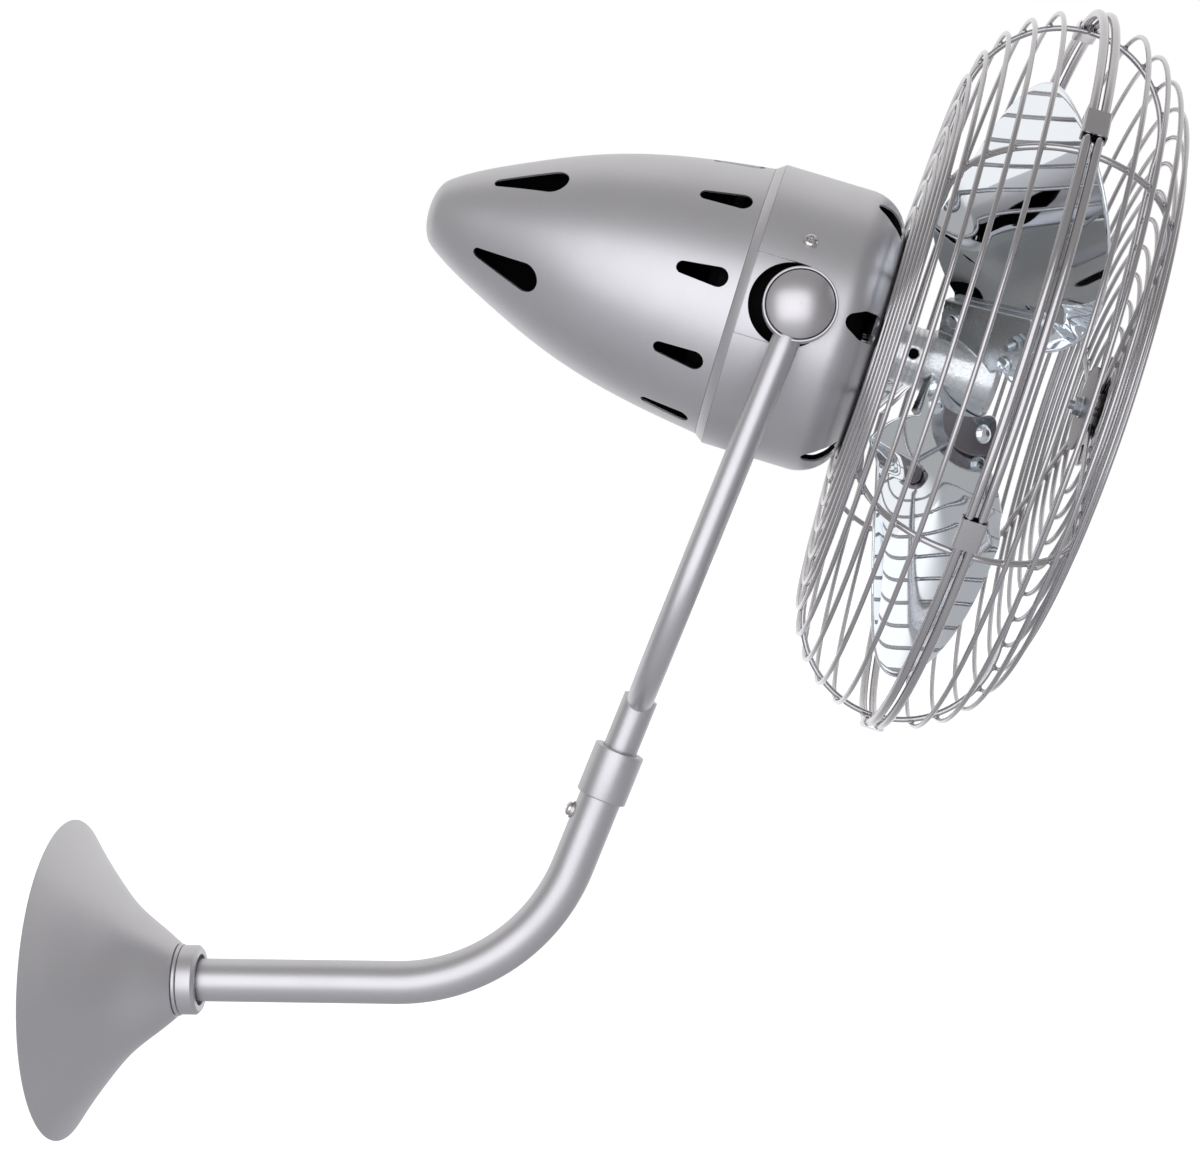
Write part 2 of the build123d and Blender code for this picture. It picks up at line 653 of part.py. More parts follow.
# ------------------------------------------------------------------ motor
def make_motor_frame():
    """Front half of the motor casing, with the pivot bosses, housing posts and cage posts."""
    bearing_back = FRONT_BEARING_AT - 1
    bearing_front = FRONT_BEARING_AT + BEARING_WIDTH + 0.02
    shaft_hole_r = 6.0
    frame = lathe_points([
        (FRAME_INNER_R, FRAME_SPLIT), (FRAME_R, FRAME_SPLIT), (FRAME_R, FRAME_FRONT - 5),
        (FRAME_R - 5, FRAME_FRONT), (BOSS_R, FRAME_FRONT), (BOSS_R, FRAME_FRONT + 3),
        (shaft_hole_r, FRAME_FRONT + 3), (shaft_hole_r, bearing_front), (BEARING_R, bearing_front),
        (BEARING_R, bearing_back), (BOSS_R, bearing_back), (BOSS_R, FRAME_FRONT - 4),
        (FRAME_INNER_R, FRAME_FRONT - 4),
    ])
    for boss in both_sides(across(tube(BOSS_R, 0, FRAME_INNER_R + 2, BOSS_FACE))):
        frame += boss
    for phi in HOUSING_SCREW_PHI:
        frame += radial(tube(POST_R, 0, FRAME_R - 2, TAB_R - TAB_T - 0.25), phi, HOUSING_SCREW_AT)
    frame = drill_sides(frame, SCREW_R, FRAME_R, 69)
    post_top = HOUSING_FACE - HOUSING_WALL - 0.05
    for post in around(Pos(POST_CIRCLE_R, 0, 0) * tube(POST_R, 0, FRAME_FRONT - 1, post_top), 4, 45):
        frame += post
    frame = drill_circle(frame, POST_CIRCLE_R, FRAME_FRONT + 1, 50)
    for bore in both_sides(across(tube(BUSH_R + 0.02, 0, FRAME_INNER_R - 4, BOSS_FACE + 1))):
        frame -= bore
    return drill_circle(frame, TIE_BOLT_CIRCLE_R, FRAME_SPLIT - 1, 20)


def make_rear_bell():
    """Rear half of the motor casing, with the rear bearing's cup and a level seat for each tie bolt."""
    rim = FRAME_SPLIT - 0.02
    cup_end = FRAME_REAR - 4
    bell = lathe_points([
        (FRAME_INNER_R, rim), (FRAME_R, rim), (FRAME_R, FRAME_REAR + 5), (FRAME_R - 5, FRAME_REAR),
        (BOSS_R, FRAME_REAR), (BOSS_R, cup_end), (0, cup_end), (0, cup_end + 2), (BEARING_R, cup_end + 2),
        (BEARING_R, FRAME_REAR + 8), (BOSS_R, FRAME_REAR + 8), (BOSS_R, FRAME_REAR + 4),
        (FRAME_INNER_R, FRAME_REAR + 4),
    ])
    bell = drill_circle(bell, TIE_BOLT_CIRCLE_R, -60, FRAME_SPLIT + 1)
    seat = Pos(TIE_BOLT_CIRCLE_R, 0, 0) * tube(TIE_BOLT_HEAD_R + 0.2, 0, FRAME_REAR - 1, FRAME_REAR + 3)
    for well in around(seat, 4, 45):
        bell -= well
    return bell


def make_tie_bolts():
    bolt = Rot(180, 0, 0) * pan_screw(TIE_BOLT_HEAD_R, 3.4, SCREW_R, 60)
    return around(Pos(TIE_BOLT_CIRCLE_R, 0, FRAME_REAR + 3) * bolt, 4, 45)


def make_bearing(low):
    return tube(BEARING_R - 0.03, BEARING_BORE_R, low, low + BEARING_WIDTH)


def make_stator():
    """Ring of laminations with sixteen winding slots open to the rotor."""
    stack = tube(STATOR_R, STATOR_BORE_R, STACK_LOW, STACK_HIGH)
    slot = Pos(STATOR_BORE_R + 5.4, 0, (STACK_LOW + STACK_HIGH) / 2) * Box(9, 4.4, 50)
    for cut in around(slot, 16, 0):
        stack -= cut
    return stack


def make_windings():
    """The two bundles of winding ends, in front of the stator and behind it."""
    half_width = 6.0
    half_height = 5.2
    gap = 0.4
    bundle = lathe(Pos(43.5, 0) * Ellipse(half_width, half_height))
    front = STACK_HIGH + half_height + gap
    rear = STACK_LOW - half_height - gap
    return [Pos(0, 0, station) * bundle for station in (front, rear)]


def make_capacitor():
    lid = tube(CAN_R - 1.5, 0, CAN_HIGH, CAN_HIGH + 2.5)
    can = Pos(0, -CAN_OFFSET, 0) * (tube(CAN_R, 0, CAN_LOW, CAN_HIGH) + lid)
    rear_edge = can.edges().filter_by(GeomType.CIRCLE).sort_by(Axis.Z)[0]
    return fillet(rear_edge, 1.5)


def make_capacitor_bracket():
    """Flat plate in the tail's middle plane, with a foot on the rear bell and a strap round the can."""
    other_edge = [(-x, station) for x, station in reversed(BRACKET_EDGE)]
    outline = make_face(Polyline(*BRACKET_EDGE, *other_edge, close=True))
    plate = Plane.XZ * Pos(0, 0, -BRACKET_T / 2) * extrude(outline, BRACKET_T)
    edge_x, foot_face = BRACKET_EDGE[-1]
    foot_corner = (Align.CENTER, Align.MAX, Align.MAX)
    foot = Pos(0, 0, foot_face) * Box(2 * edge_x, 12, BRACKET_T, align=foot_corner)
    strap = Pos(0, -CAN_OFFSET, 0) * tube(CAN_R + 1.2, CAN_R + 0.03, STRAP_LOW, STRAP_LOW + STRAP_WIDTH)
    return plate + foot + strap


def make_bush():
    """Flanged plain bearing in the motor frame's boss, round the pivot stud."""
    top = BOSS_FACE + 1.2
    sleeve = tube(BUSH_R, STUD_R + RUNNING_GAP, FRAME_R - 2, top)
    flange = tube(9.5, STUD_R + RUNNING_GAP, BOSS_FACE + 0.02, top)
    return across(sleeve + flange)


save("motor_frame", make_motor_frame(), HEAD)
save("motor_rear_bell", make_rear_bell(), HEAD)
save("motor_tie_bolts", make_tie_bolts(), HEAD)
save("motor_bearings", [make_bearing(FRONT_BEARING_AT), make_bearing(REAR_BEARING_AT)], HEAD)
save("stator_core", make_stator(), HEAD)
save("stator_windings", make_windings(), HEAD)
save("run_capacitor", make_capacitor(), HEAD)
save("capacitor_bracket", make_capacitor_bracket(), HEAD)
save("pivot_bushes", both_sides(make_bush()), HEAD)


# ------------------------------------------------------------------ cage
def arc_point(radius, angle):
    """Point on the cage's shoulder, as (radius, distance from the middle plane)."""
    turn = math.radians(angle)
    return (RIB_ARC_CENTRE_R + radius * math.sin(turn), radius * math.cos(turn))


def face_distance(radius, arc_r):
    """Distance of the sloping face from the middle plane, at a radius inside the shoulder."""
    edge_r, edge_s = arc_point(arc_r, -RIB_SLOPE)
    return edge_s + (edge_r - radius) * math.tan(math.radians(RIB_SLOPE))


def make_ring(radius, distance, wire_r):
    return Pos(0, 0, distance) * Torus(radius, wire_r)


def make_face_rings(first_r, count):
    arc_r = RIB_ARC_R + RIB_R + RING_R - WELD
    radii = [first_r + RING_PITCH * i for i in range(count)]
    return [make_ring(radius, face_distance(radius, arc_r), RING_R) for radius in radii]


def make_shoulder_rings():
    arc_r = RIB_ARC_R + RIB_R + RING_R - WELD
    angles = [SHOULDER_RING_ANGLE + SHOULDER_RING_STEP * i for i in range(SHOULDER_RINGS)]
    return [make_ring(*arc_point(arc_r, angle), RING_R) for angle in angles]


def make_rib(inner_r, level_r):
    """One rib wire in the x-z plane; inside level_r it runs level, at right angles to the axis."""
    tangent = arc_point(RIB_ARC_R, -RIB_SLOPE)
    middle = arc_point(RIB_ARC_R, 42)
    end = arc_point(RIB_ARC_R, 89.2)
    if level_r > inner_r:
        level = face_distance(level_r, RIB_ARC_R)
        route = FilletPolyline((inner_r, level), (level_r, level), tangent, radius=260)
        start = (inner_r, level)
        direction = (1, 0, 0)
    else:
        start = (inner_r, face_distance(inner_r, RIB_ARC_R))
        route = Line(start, tangent)
        direction = (tangent[0] - start[0], 0, tangent[1] - start[1])
    route += ThreePointArc(tangent, middle, end)
    section = Plane(origin=(start[0], 0, start[1]), z_dir=direction) * Circle(RIB_R)
    return sweep(section, path=Plane.XZ * route)


def front_half(shapes):
    """Places shapes drawn outwards from the cage's middle plane on its front side."""
    return [Pos(0, 0, CAGE_MID) * shape for shape in shapes]


def rear_half(shapes):
    """Places shapes drawn outwards from the cage's middle plane on its rear side."""
    return [Pos(0, 0, CAGE_MID) * mirror(shape, about=Plane.XY) for shape in shapes]


rim_r = RIB_ARC_CENTRE_R + RIB_ARC_R + RIB_R + RIM_WIRE_R - WELD


def make_mount_ring():
    """Flat ring on the housing's face that the rear ribs end on, with screw holes and windows."""
    low = HOUSING_FACE + 0.1
    plate = drill_circle(tube(MOUNT_RING_R, 19.0, low, low + MOUNT_RING_T), POST_CIRCLE_R, 40, 45)
    for window in around(Pos(POST_CIRCLE_R, 0, 0) * tube(8.0, 0, 40, 45), 4, 0):
        plate -= window
    return plate


def make_clips():
    """Folded sheet clips round both rims, one at each pair of ribs."""
    sleeve = Box(6.4, 14.0, 11.6) - Box(4.9, 15.0, 10.0)
    return around(Pos(rim_r, 0, CAGE_MID) * sleeve, RIBS, -4)


rim = make_ring(rim_r, RIM_HALF_GAP, RIM_WIRE_R)
cage_screw = Pos(POST_CIRCLE_R, 0, HOUSING_FACE + MOUNT_RING_T + 0.12) * pan_screw(4.0, 2.4, SCREW_R, 9.0)
save("rear_cage_face_rings", rear_half(make_face_rings(REAR_FIRST_RING_R, REAR_FACE_RINGS)), HEAD)
save("front_cage_face_rings", front_half(make_face_rings(FRONT_FIRST_RING_R, FRONT_FACE_RINGS)), HEAD)
save("rear_cage_shoulder_rings", rear_half(make_shoulder_rings()), HEAD)
save("front_cage_shoulder_rings", front_half(make_shoulder_rings()), HEAD)
save("rear_cage_ribs", around(rear_half([make_rib(50.0, 76.0)])[0], RIBS, 0), HEAD)
save("front_cage_ribs", around(front_half([make_rib(18.0, 0.0)])[0], RIBS, 0), HEAD)
save("rear_cage_rim", rear_half([rim]), HEAD)
save("front_cage_rim", front_half([rim]), HEAD)
save("cage_mount_ring", make_mount_ring(), HEAD)
save("cage_mount_screws", around(cage_screw, 4, 45), HEAD)
save("cage_rim_clips", make_clips(), HEAD)

badge_back = CAGE_MID + face_distance(18.0, RIB_ARC_R) + RIB_R
bolt_front = badge_back + 2.4
clamp_front = badge_back - 2 * RIB_R - 0.9
clamp_back = clamp_front - 1.6
nut_back = clamp_back - 4.8
bolt_hole_r = BADGE_BOLT_R + 0.05
badge = dome(BADGE_R, 1.6, 3.6) - tube(BADGE_BOLT_R + 0.02, 0, -1, 2.4)
badge_nut = hex_prism(8.0, nut_back, nut_back + 3.7) - tube(BADGE_BOLT_R + 0.02, 0, nut_back - 1, clamp_back)
badge_washer = tube(5.6, bolt_hole_r, nut_back + 3.72, clamp_back - 0.02)
save("cage_badge", Pos(0, 0, badge_back) * badge, HEAD)
save("badge_clamp_disc", tube(22.0, bolt_hole_r, clamp_back, clamp_front), HEAD)
save("badge_bolt", tube(BADGE_BOLT_R, 0, nut_back - 2.6, bolt_front), HEAD)
save("badge_nut", [badge_nut, badge_washer], HEAD)


# ------------------------------------------------------------------ rotor
def blade_frame(phi, pitch):
    """Placement on a blade's axis: x out along the blade, y along the chord, z forwards."""
    turn = math.radians(pitch)
    local = Plane(origin=(0, 0, BLADE_AT), x_dir=(1, 0, 0), z_dir=(0, -math.sin(turn), math.cos(turn)))
    return Rot(0, 0, phi) * local.location


def blade_section(u, pitch, camber):
    """Closed strip across the blade at the distance u from the shaft."""
    half = BLADE_HALF_CHORD + 9
    rise = camber * half * half / 2
    low = -BLADE_T / 2
    high = BLADE_T / 2
    strip = make_face(
        ThreePointArc((-half, rise + low), (0, low), (half, rise + low))
        + Line((half, rise + low), (half, rise + high))
        + ThreePointArc((half, rise + high), (0, high), (-half, rise + high))
        + Line((-half, rise + high), (-half, rise + low))
    )
    turn = math.radians(pitch)
    plane = Plane(origin=(u, 0, BLADE_AT), x_dir=(0, math.cos(turn), math.sin(turn)), z_dir=(1, 0, 0))
    return plane * strip


def blade_outline():
    """Broad oval with a root tab that the rivets hold, x along the blade and y along the chord."""
    squareness = 2.0 / 2.3
    points = []
    for i in range(24):
        turn = math.radians(15 * i)
        c = math.cos(turn)
        s = math.sin(turn)
        u = BLADE_CENTRE_U + BLADE_HALF_LENGTH * math.copysign(abs(c) ** squareness, c)
        v = BLADE_HALF_CHORD * math.copysign(abs(s) ** squareness, s) - 1.8
        points.append((u, v))
    oval = make_face(Spline(*points, periodic=True))
    tab = Pos(33, 1.5) * RectangleRounded(40, 52, 5)
    return oval + tab


def make_blade():
    """Sheet with a flat root for the rivets, twisted and cambered beyond it, and cut clear of the hub."""
    flat = blade_section(ROOT_FLAT_END, ROOT_PITCH, ROOT_CAMBER)
    root = loft([blade_section(8.0, ROOT_PITCH, ROOT_CAMBER), flat], ruled=True)
    stations = [
        (74.0, 45.4, BLADE_CAMBER), (98.0, MID_PITCH, BLADE_CAMBER), (132.0, 31.0, BLADE_CAMBER),
        (168.0, TIP_PITCH, BLADE_CAMBER),
    ]
    sheet = root + loft([flat] + [blade_section(*station) for station in stations])
    outline_pitch = MID_PITCH + 4
    prism = blade_frame(0, outline_pitch) * Pos(0, 0, -60) * extrude(blade_outline(), 120)
    return (sheet & prism) - lathe_points(hub_outline(0.3))


def pad_frame(phi):
    return blade_frame(phi, ROOT_PITCH)


def hub_outline(margin):
    """Closed outline of the hub's barrel, with a margin all round its outside."""
    back = HUB_BACK - margin
    front = HUB_FRONT + margin
    return [
        (0, back), (14.2 + margin, back), (15.0 + margin, back + 0.8), (15.0 + margin, 67.0),
        (16.2 + margin, 71.0), (19.5 + margin, 104.0), (18.0 + margin, front), (0, front),
    ]


def on_root(shape, places, phi):
    """Copies of a shape at places on the root of the blade at the angle phi."""
    return [pad_frame(phi) * Pos(u, v, 0) * shape for u, v in places]


def drill_root(shape, phi):
    """Cuts the rivet and bolt holes of the blade root at the angle phi."""
    holes = on_root(tube(RIVET_R + 0.05, 0, -20, 5), RIVET_PLACES, phi)
    holes += on_root(tube(BLADE_BOLT_R + 0.05, 0, -20, 5), BLADE_BOLT_PLACES, phi)
    for hole in holes:
        shape -= hole
    return shape


def make_hub():
    """Cast barrel on the shaft, with a swept wing-shaped pad behind the root of each blade."""
    hub = lathe_points(hub_outline(0))
    wing = make_face(Polyline((6, -22), (32, -26), (57, 23), (53, 27), (27, 28), (6, 3), close=True))
    pad = Pos(0, 0, -BLADE_T / 2 - 0.1 - PAD_T) * extrude(wing, PAD_T)
    for phi in blade_angles:
        hub += pad_frame(phi) * pad
    hub -= tube(SHAFT_R, 0, HUB_BACK - 1, HUB_FRONT + 1)
    for phi in blade_angles:
        hub = drill_root(hub, phi)
    return hub - radial(tube(GRUB_R + 0.05, 0, 0, 30), 90, HUB_GRUB_AT)


def make_rivet():
    """Domed rivet through the blade and the pad, with its tail closed flat behind the pad."""
    front = BLADE_T / 2 + 0.05
    back = -BLADE_T / 2 - PAD_T - 0.15
    shank = tube(RIVET_R, 0, back - 0.1, front + 0.1)
    return Pos(0, 0, front) * dome(4.9, 0.4, 3.0) + shank + tube(4.0, 0, back - 1.6, back)


def make_blade_bolt():
    """Small bolt at the pad's outer corner, with its nut behind the pad."""
    front = BLADE_T / 2 + 0.05
    back = -BLADE_T / 2 - PAD_T - 0.15
    shank = tube(BLADE_BOLT_R, 0, back - 9, front + 0.1)
    return Pos(0, 0, front) * pan_head(3.9, 2.8) + shank + hex_prism(7.0, back - 3.2, back)


blade_angles = [FIRST_BLADE_PHI + 360 / BLADES * i for i in range(BLADES)]
blade = drill_root(make_blade(), 0)
rivets = []
bolts = []
for i, phi in enumerate(blade_angles):
    save(f"blade_{i + 1}", Rot(0, 0, phi) * blade, HEAD)
    rivets += on_root(make_rivet(), RIVET_PLACES, phi)
    bolts += on_root(make_blade_bolt(), BLADE_BOLT_PLACES, phi)
save("blade_hub", make_hub(), HEAD)
save("blade_rivets", rivets, HEAD)
save("blade_bolts", bolts, HEAD)
save("hub_grub_screw", radial(tube(GRUB_R, 0, SHAFT_R + 0.02, 8.5), 90, HUB_GRUB_AT), HEAD)
save("motor_shaft", tube(SHAFT_R, 0, FRAME_REAR + 0.5, HUB_FRONT - 1), HEAD)
save("rotor_core", tube(STATOR_BORE_R - 0.5, SHAFT_R, STACK_LOW, STACK_HIGH), HEAD)
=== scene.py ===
"""Looks of a wall mounted fan, built round its packed construction frame.

A flared wall canopy carries a bent arm, a U-shaped yoke that swivels on it, and a bullet-shaped
motor head whose wire cage holds three mirror-bright blades. Each sub-assembly is a class that is
drawn in millimetres in its own axes; its meshes become metres in the frame's axes when they are
made. The joints of the frame give those axes, so nothing here is placed by eye.
"""

from __future__ import annotations

import json
import logging
import math
from dataclasses import dataclass, field, replace
from enum import Enum
from functools import partial
from typing import Callable, Sequence

import bmesh
import bpy
import numpy as np
from mathutils import Matrix, Vector

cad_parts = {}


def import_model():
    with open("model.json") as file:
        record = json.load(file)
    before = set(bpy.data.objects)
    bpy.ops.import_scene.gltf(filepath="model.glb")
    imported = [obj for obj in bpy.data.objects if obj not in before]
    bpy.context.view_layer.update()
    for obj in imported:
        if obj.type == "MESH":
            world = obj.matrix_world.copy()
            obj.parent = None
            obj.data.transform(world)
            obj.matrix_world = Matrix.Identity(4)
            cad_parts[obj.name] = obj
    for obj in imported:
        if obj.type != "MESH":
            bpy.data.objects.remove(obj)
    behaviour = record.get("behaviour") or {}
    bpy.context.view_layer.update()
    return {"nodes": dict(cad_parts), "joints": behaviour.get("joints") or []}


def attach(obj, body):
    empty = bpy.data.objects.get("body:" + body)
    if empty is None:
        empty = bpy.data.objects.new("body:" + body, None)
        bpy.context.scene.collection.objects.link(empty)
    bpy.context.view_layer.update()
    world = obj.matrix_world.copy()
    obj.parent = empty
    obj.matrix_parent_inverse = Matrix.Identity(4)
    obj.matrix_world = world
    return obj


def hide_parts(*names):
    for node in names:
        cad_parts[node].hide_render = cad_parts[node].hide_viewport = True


LOG = logging.getLogger("wall_fan")
MM = 0.001
# In millimetres: clearances of parts that touch or nest, and how near doubled points are merged.
SNUG, LOOSE, MERGE = 0.1, 0.15, 0.004
FULL_TURN = 2.0 * math.pi
X, Y, Z = np.eye(3)
Array = np.ndarray
Pair = tuple[float, float]
Floats = tuple[float, ...]
Knots = tuple[Pair, ...]
Outline = Sequence[Sequence[float]]
Distance = Callable[[Array], Array]
Socket = bpy.types.NodeSocket
AddNode = Callable[..., bpy.types.bpy_prop_collection]


# ---------------------------------------------------------------- axes and surfaces
@dataclass(frozen=True)
class Axes:
    """A right-handed set of axes that a sub-assembly is drawn in."""

    origin: Array
    x: Array
    y: Array
    z: Array

    @staticmethod
    def along(origin: Sequence[float], y: Sequence[float], z: Sequence[float]) -> Axes:
        """Axes from a place in metres and the directions of y and z.

        Args:
            origin: place of the origin in the frame, in metres.
            y: direction of the y axis.
            z: direction of the z axis.

        Returns:
            The axes, with x at right angles to both.
        """
        y_dir = np.asarray(y, float) / np.linalg.norm(y)
        z_dir = np.asarray(z, float) / np.linalg.norm(z)
        return Axes(np.asarray(origin, float), np.cross(y_dir, z_dir), y_dir, z_dir)

    def place(self, points: Array) -> Array:
        """Local millimetres to metres in the frame: origin plus each coordinate times its axis."""
        return self.origin + MM * (points @ np.stack([self.x, self.y, self.z]))


def about_z(points: Array, angle: float) -> Array:
    """Points turned about z by an angle in degrees."""
    c, s = math.cos(math.radians(angle)), math.sin(math.radians(angle))
    return points @ np.array([[c, s, 0.0], [-s, c, 0.0], [0.0, 0.0, 1.0]])


@dataclass
class Surface:
    """Points in local millimetres, arrays of faces over them, and each array's finish number."""

    points: Array
    faces: list[Array]
    finish: list[int] = field(default_factory=list)

    def __post_init__(self) -> None:
        """Gives every array of faces the first finish if none is named."""
        if not self.finish:
            self.finish = [0] * len(self.faces)

    def turned(self, angle: float) -> Surface:
        """The surface turned about z by an angle in degrees."""
        return replace(self, points=about_z(self.points, angle))

    def placed(self, origin: Sequence[float], x: Array, y: Array, z: Array) -> Surface:
        """The surface carried from its own axes to an origin and three directions."""
        return replace(self, points=np.asarray(origin, float) + self.points @ np.stack([x, y, z]))

    def mirrored(self) -> Surface:
        """The surface reflected in the x-z plane, its faces turned over to stay outward."""
        faces = [face[:, ::-1] for face in self.faces]
        return replace(self, points=self.points * np.array([1.0, -1.0, 1.0]), faces=faces)

    def with_finish(self, number: int) -> Surface:
        """The same surface with every face in one finish."""
        return replace(self, finish=[number] * len(self.faces))


def join(parts: Sequence[Surface]) -> Surface:
    """Puts several surfaces into one, side by side.

    Args:
        parts: the surfaces.

    Returns:
        One surface that holds all their points and faces.
    """
    starts = np.cumsum([0] + [len(part.points) for part in parts])
    faces = [face + start for part, start in zip(parts, starts) for face in part.faces]
    finish = [number for part in parts for number in part.finish]
    return Surface(np.concatenate([part.points for part in parts]), faces, finish)


def stack(*parts: Array | float) -> Array:
    """Coordinates of points, spread to one shape and put side by side."""
    return np.stack(np.broadcast_arrays(*parts), -1)


def around(radius: Array | float, turn: Array | float, station: Array | float) -> Array:
    """Points about z: x = radius cos turn, y = radius sin turn, z = station."""
    return stack(radius * np.cos(turn), radius * np.sin(turn), station)


def steps_round(count: int) -> Array:
    """Angles in radians at even steps round a full turn."""
    return np.linspace(0.0, FULL_TURN, count, endpoint=False)


def grid_quads(rows: int, columns: int, around: bool, along: bool) -> Array:
    """Quads that join a grid of points, numbered row by row.

    Args:
        rows: number of rows.
        columns: number of columns.
        around: whether the last column joins the first.
        along: whether the last row joins the first.

    Returns:
        An array of four point numbers a quad.
    """
    i = np.arange(rows if along else rows - 1)[:, None]
    j = np.arange(columns if around else columns - 1)[None, :]
    right = (j + 1) % columns
    below = (i + 1) % rows
    corners = stack(i * columns + j, i * columns + right, below * columns + right, below * columns + j)
    return corners.reshape(-1, 4)


def grid(points: Array, around: bool = True, along: bool = False) -> Surface:
    """A surface over a rows by columns array of points."""
    rows, columns = points.shape[:2]
    return Surface(points.reshape(-1, 3), [grid_quads(rows, columns, around, along)])


def lathe(profile: Array, segments: int, closed: bool = False) -> Surface:
    """Turns a profile of (radius, station) about z.

    Args:
        profile: the (radius, station) pairs.
        segments: number of steps round the axis.
        closed: whether the profile's end joins its start.

    Returns:
        The turned surface.
    """
    return grid(around(profile[:, 0, None], steps_round(segments), profile[:, 1, None]), True, closed)


def soften(corners: Outline, radius: float, closed: bool = True) -> Array:
    """Replaces each sharp corner of an outline by a small arc that is tangent to both its sides.

    The arc's centre lies on the corner's bisector, and it is cut short where a side is short.

    Args:
        corners: the outline's points in two dimensions.
        radius: the arc's radius in millimetres.
        closed: whether the outline's end joins its start.

    Returns:
        The outline with its arcs as points.
    """
    sharp, steps, share = math.radians(22.0), 4, 0.45
    points = np.asarray(corners, float)
    out: list[Array] = []
    for i, corner in enumerate(points):
        to_last = points[i - 1] - corner
        to_next = points[(i + 1) % len(points)] - corner
        last_length, next_length = np.linalg.norm(to_last), np.linalg.norm(to_next)
        if not closed and i in (0, len(points) - 1):
            out.append(corner[None])
            continue
        a, b = to_last / last_length, to_next / next_length
        turn = math.pi - math.acos(float(np.clip(a @ b, -1.0, 1.0)))
        if turn < sharp:
            out.append(corner[None])
            continue
        reach = min(radius * math.tan(turn / 2), share * last_length, share * next_length)
        arc_r = reach / math.tan(turn / 2)
        centre = corner + (a + b) / np.linalg.norm(a + b) * arc_r / math.cos(turn / 2)
        t = np.linspace(0.0, 1.0, steps + 1)[:, None]
        start, end = corner + a * reach - centre, corner + b * reach - centre
        out.append(centre + (np.sin((1 - t) * turn) * start + np.sin(t * turn) * end) / math.sin(turn))
    return np.concatenate(out)


def turned_part(
    corners: Outline, softness: float, segments: int = 128, closed: bool = True
) -> Surface:
    """A part turned about z from its (radius, station) corners, each softened by a small arc."""
    return lathe(soften(corners, softness, closed), segments, closed)


def peg(low: float, high: float, radius: float, softness: float = 0.0, segments: int = 24) -> Surface:
    """A round pin or disc along z between two stations, with its edges softened if that is asked."""
    outline = np.array([(0.0, low), (radius, low), (radius, high), (0.0, high)])
    return lathe(soften(outline, softness, False) if softness else outline, segments)


def in_runs(knots: Sequence[float], steps: Sequence[int]) -> Array:
    """Lengths from the first knot to the last, with a number of even steps in each stretch."""
    runs = [np.linspace(a, b, n, endpoint=False) for a, b, n in zip(knots, knots[1:], steps)]
    return np.concatenate([*runs, [knots[-1]]])


def round_axis(part: Surface, count: int, first: float = 0.0) -> list[Surface]:
    """Copies of a part at even steps about z, the first of them turned by an angle in degrees."""
    return [part.turned(first + 360.0 * i / count) for i in range(count)]


def smooth_curve(knots: Outline, count: int) -> Array:
    """Natural cubic spline through a few knots, with points evenly spaced in chord length.

    The spline's second derivatives solve the usual three-term equations, with zero at both ends.

    Args:
        knots: the points that it passes through.
        count: the number of points to return.

    Returns:
        The points along the curve.
    """
    p = np.asarray(knots, float)
    t = np.concatenate([[0.0], np.cumsum(np.linalg.norm(np.diff(p, axis=0), axis=1))])
    h = np.diff(t)
    inner = np.arange(1, len(p) - 1)
    matrix, right = np.eye(len(p)), np.zeros_like(p)
    matrix[inner, inner - 1] = h[:-1]
    matrix[inner, inner] = 2.0 * (h[:-1] + h[1:])
    matrix[inner, inner + 1] = h[1:]
    slope = np.diff(p, axis=0) / h[:, None]
    right[inner] = 6.0 * np.diff(slope, axis=0)
    bend = np.linalg.solve(matrix, right)
    s = np.linspace(0.0, t[-1], count)
    k = np.clip(np.searchsorted(t, s, "right") - 1, 0, len(h) - 1)
    a, b = ((t[k + 1] - s) / h[k])[:, None], ((s - t[k]) / h[k])[:, None]
    curve = ((a**3 - a) * bend[k] + (b**3 - b) * bend[k + 1]) * (h[k] ** 2 / 6.0)[:, None]
    return a * p[k] + b * p[k + 1] + curve


def arc(centre: Sequence[float], radius: float, first: float, last: float, count: int) -> Array:
    """Points on a circle in two dimensions, from one angle in degrees to another."""
    turn = np.radians(np.linspace(first, last, count))
    return np.asarray(centre, float) + radius * stack(np.cos(turn), np.sin(turn))


def dome_arc(
    radius: float, rise: float, top: float, count: int, inset: float = 0.0, share: float = 1.0
) -> Array:
    """Outline of a dome from rim to crown: an arc of the sphere through both.

    Args:
        radius: the dome's radius at its rim.
        rise: height of the crown above the rim.
        top: station of the crown.
        count: number of points.
        inset: how far inside the sphere the arc lies.
        share: share of the way down to the rim that it goes.

    Returns:
        The (radius, station) points.
    """
    ball = (radius * radius + rise * rise) / (2 * rise)
    opening = share * math.degrees(math.asin(radius / ball))
    return arc((0.0, top - ball), ball - inset, 90.0 - opening, 90.0, count)


def unit(vectors: Array) -> Array:
    """Vectors scaled to length one."""
    return vectors / np.linalg.norm(vectors, axis=-1, keepdims=True)


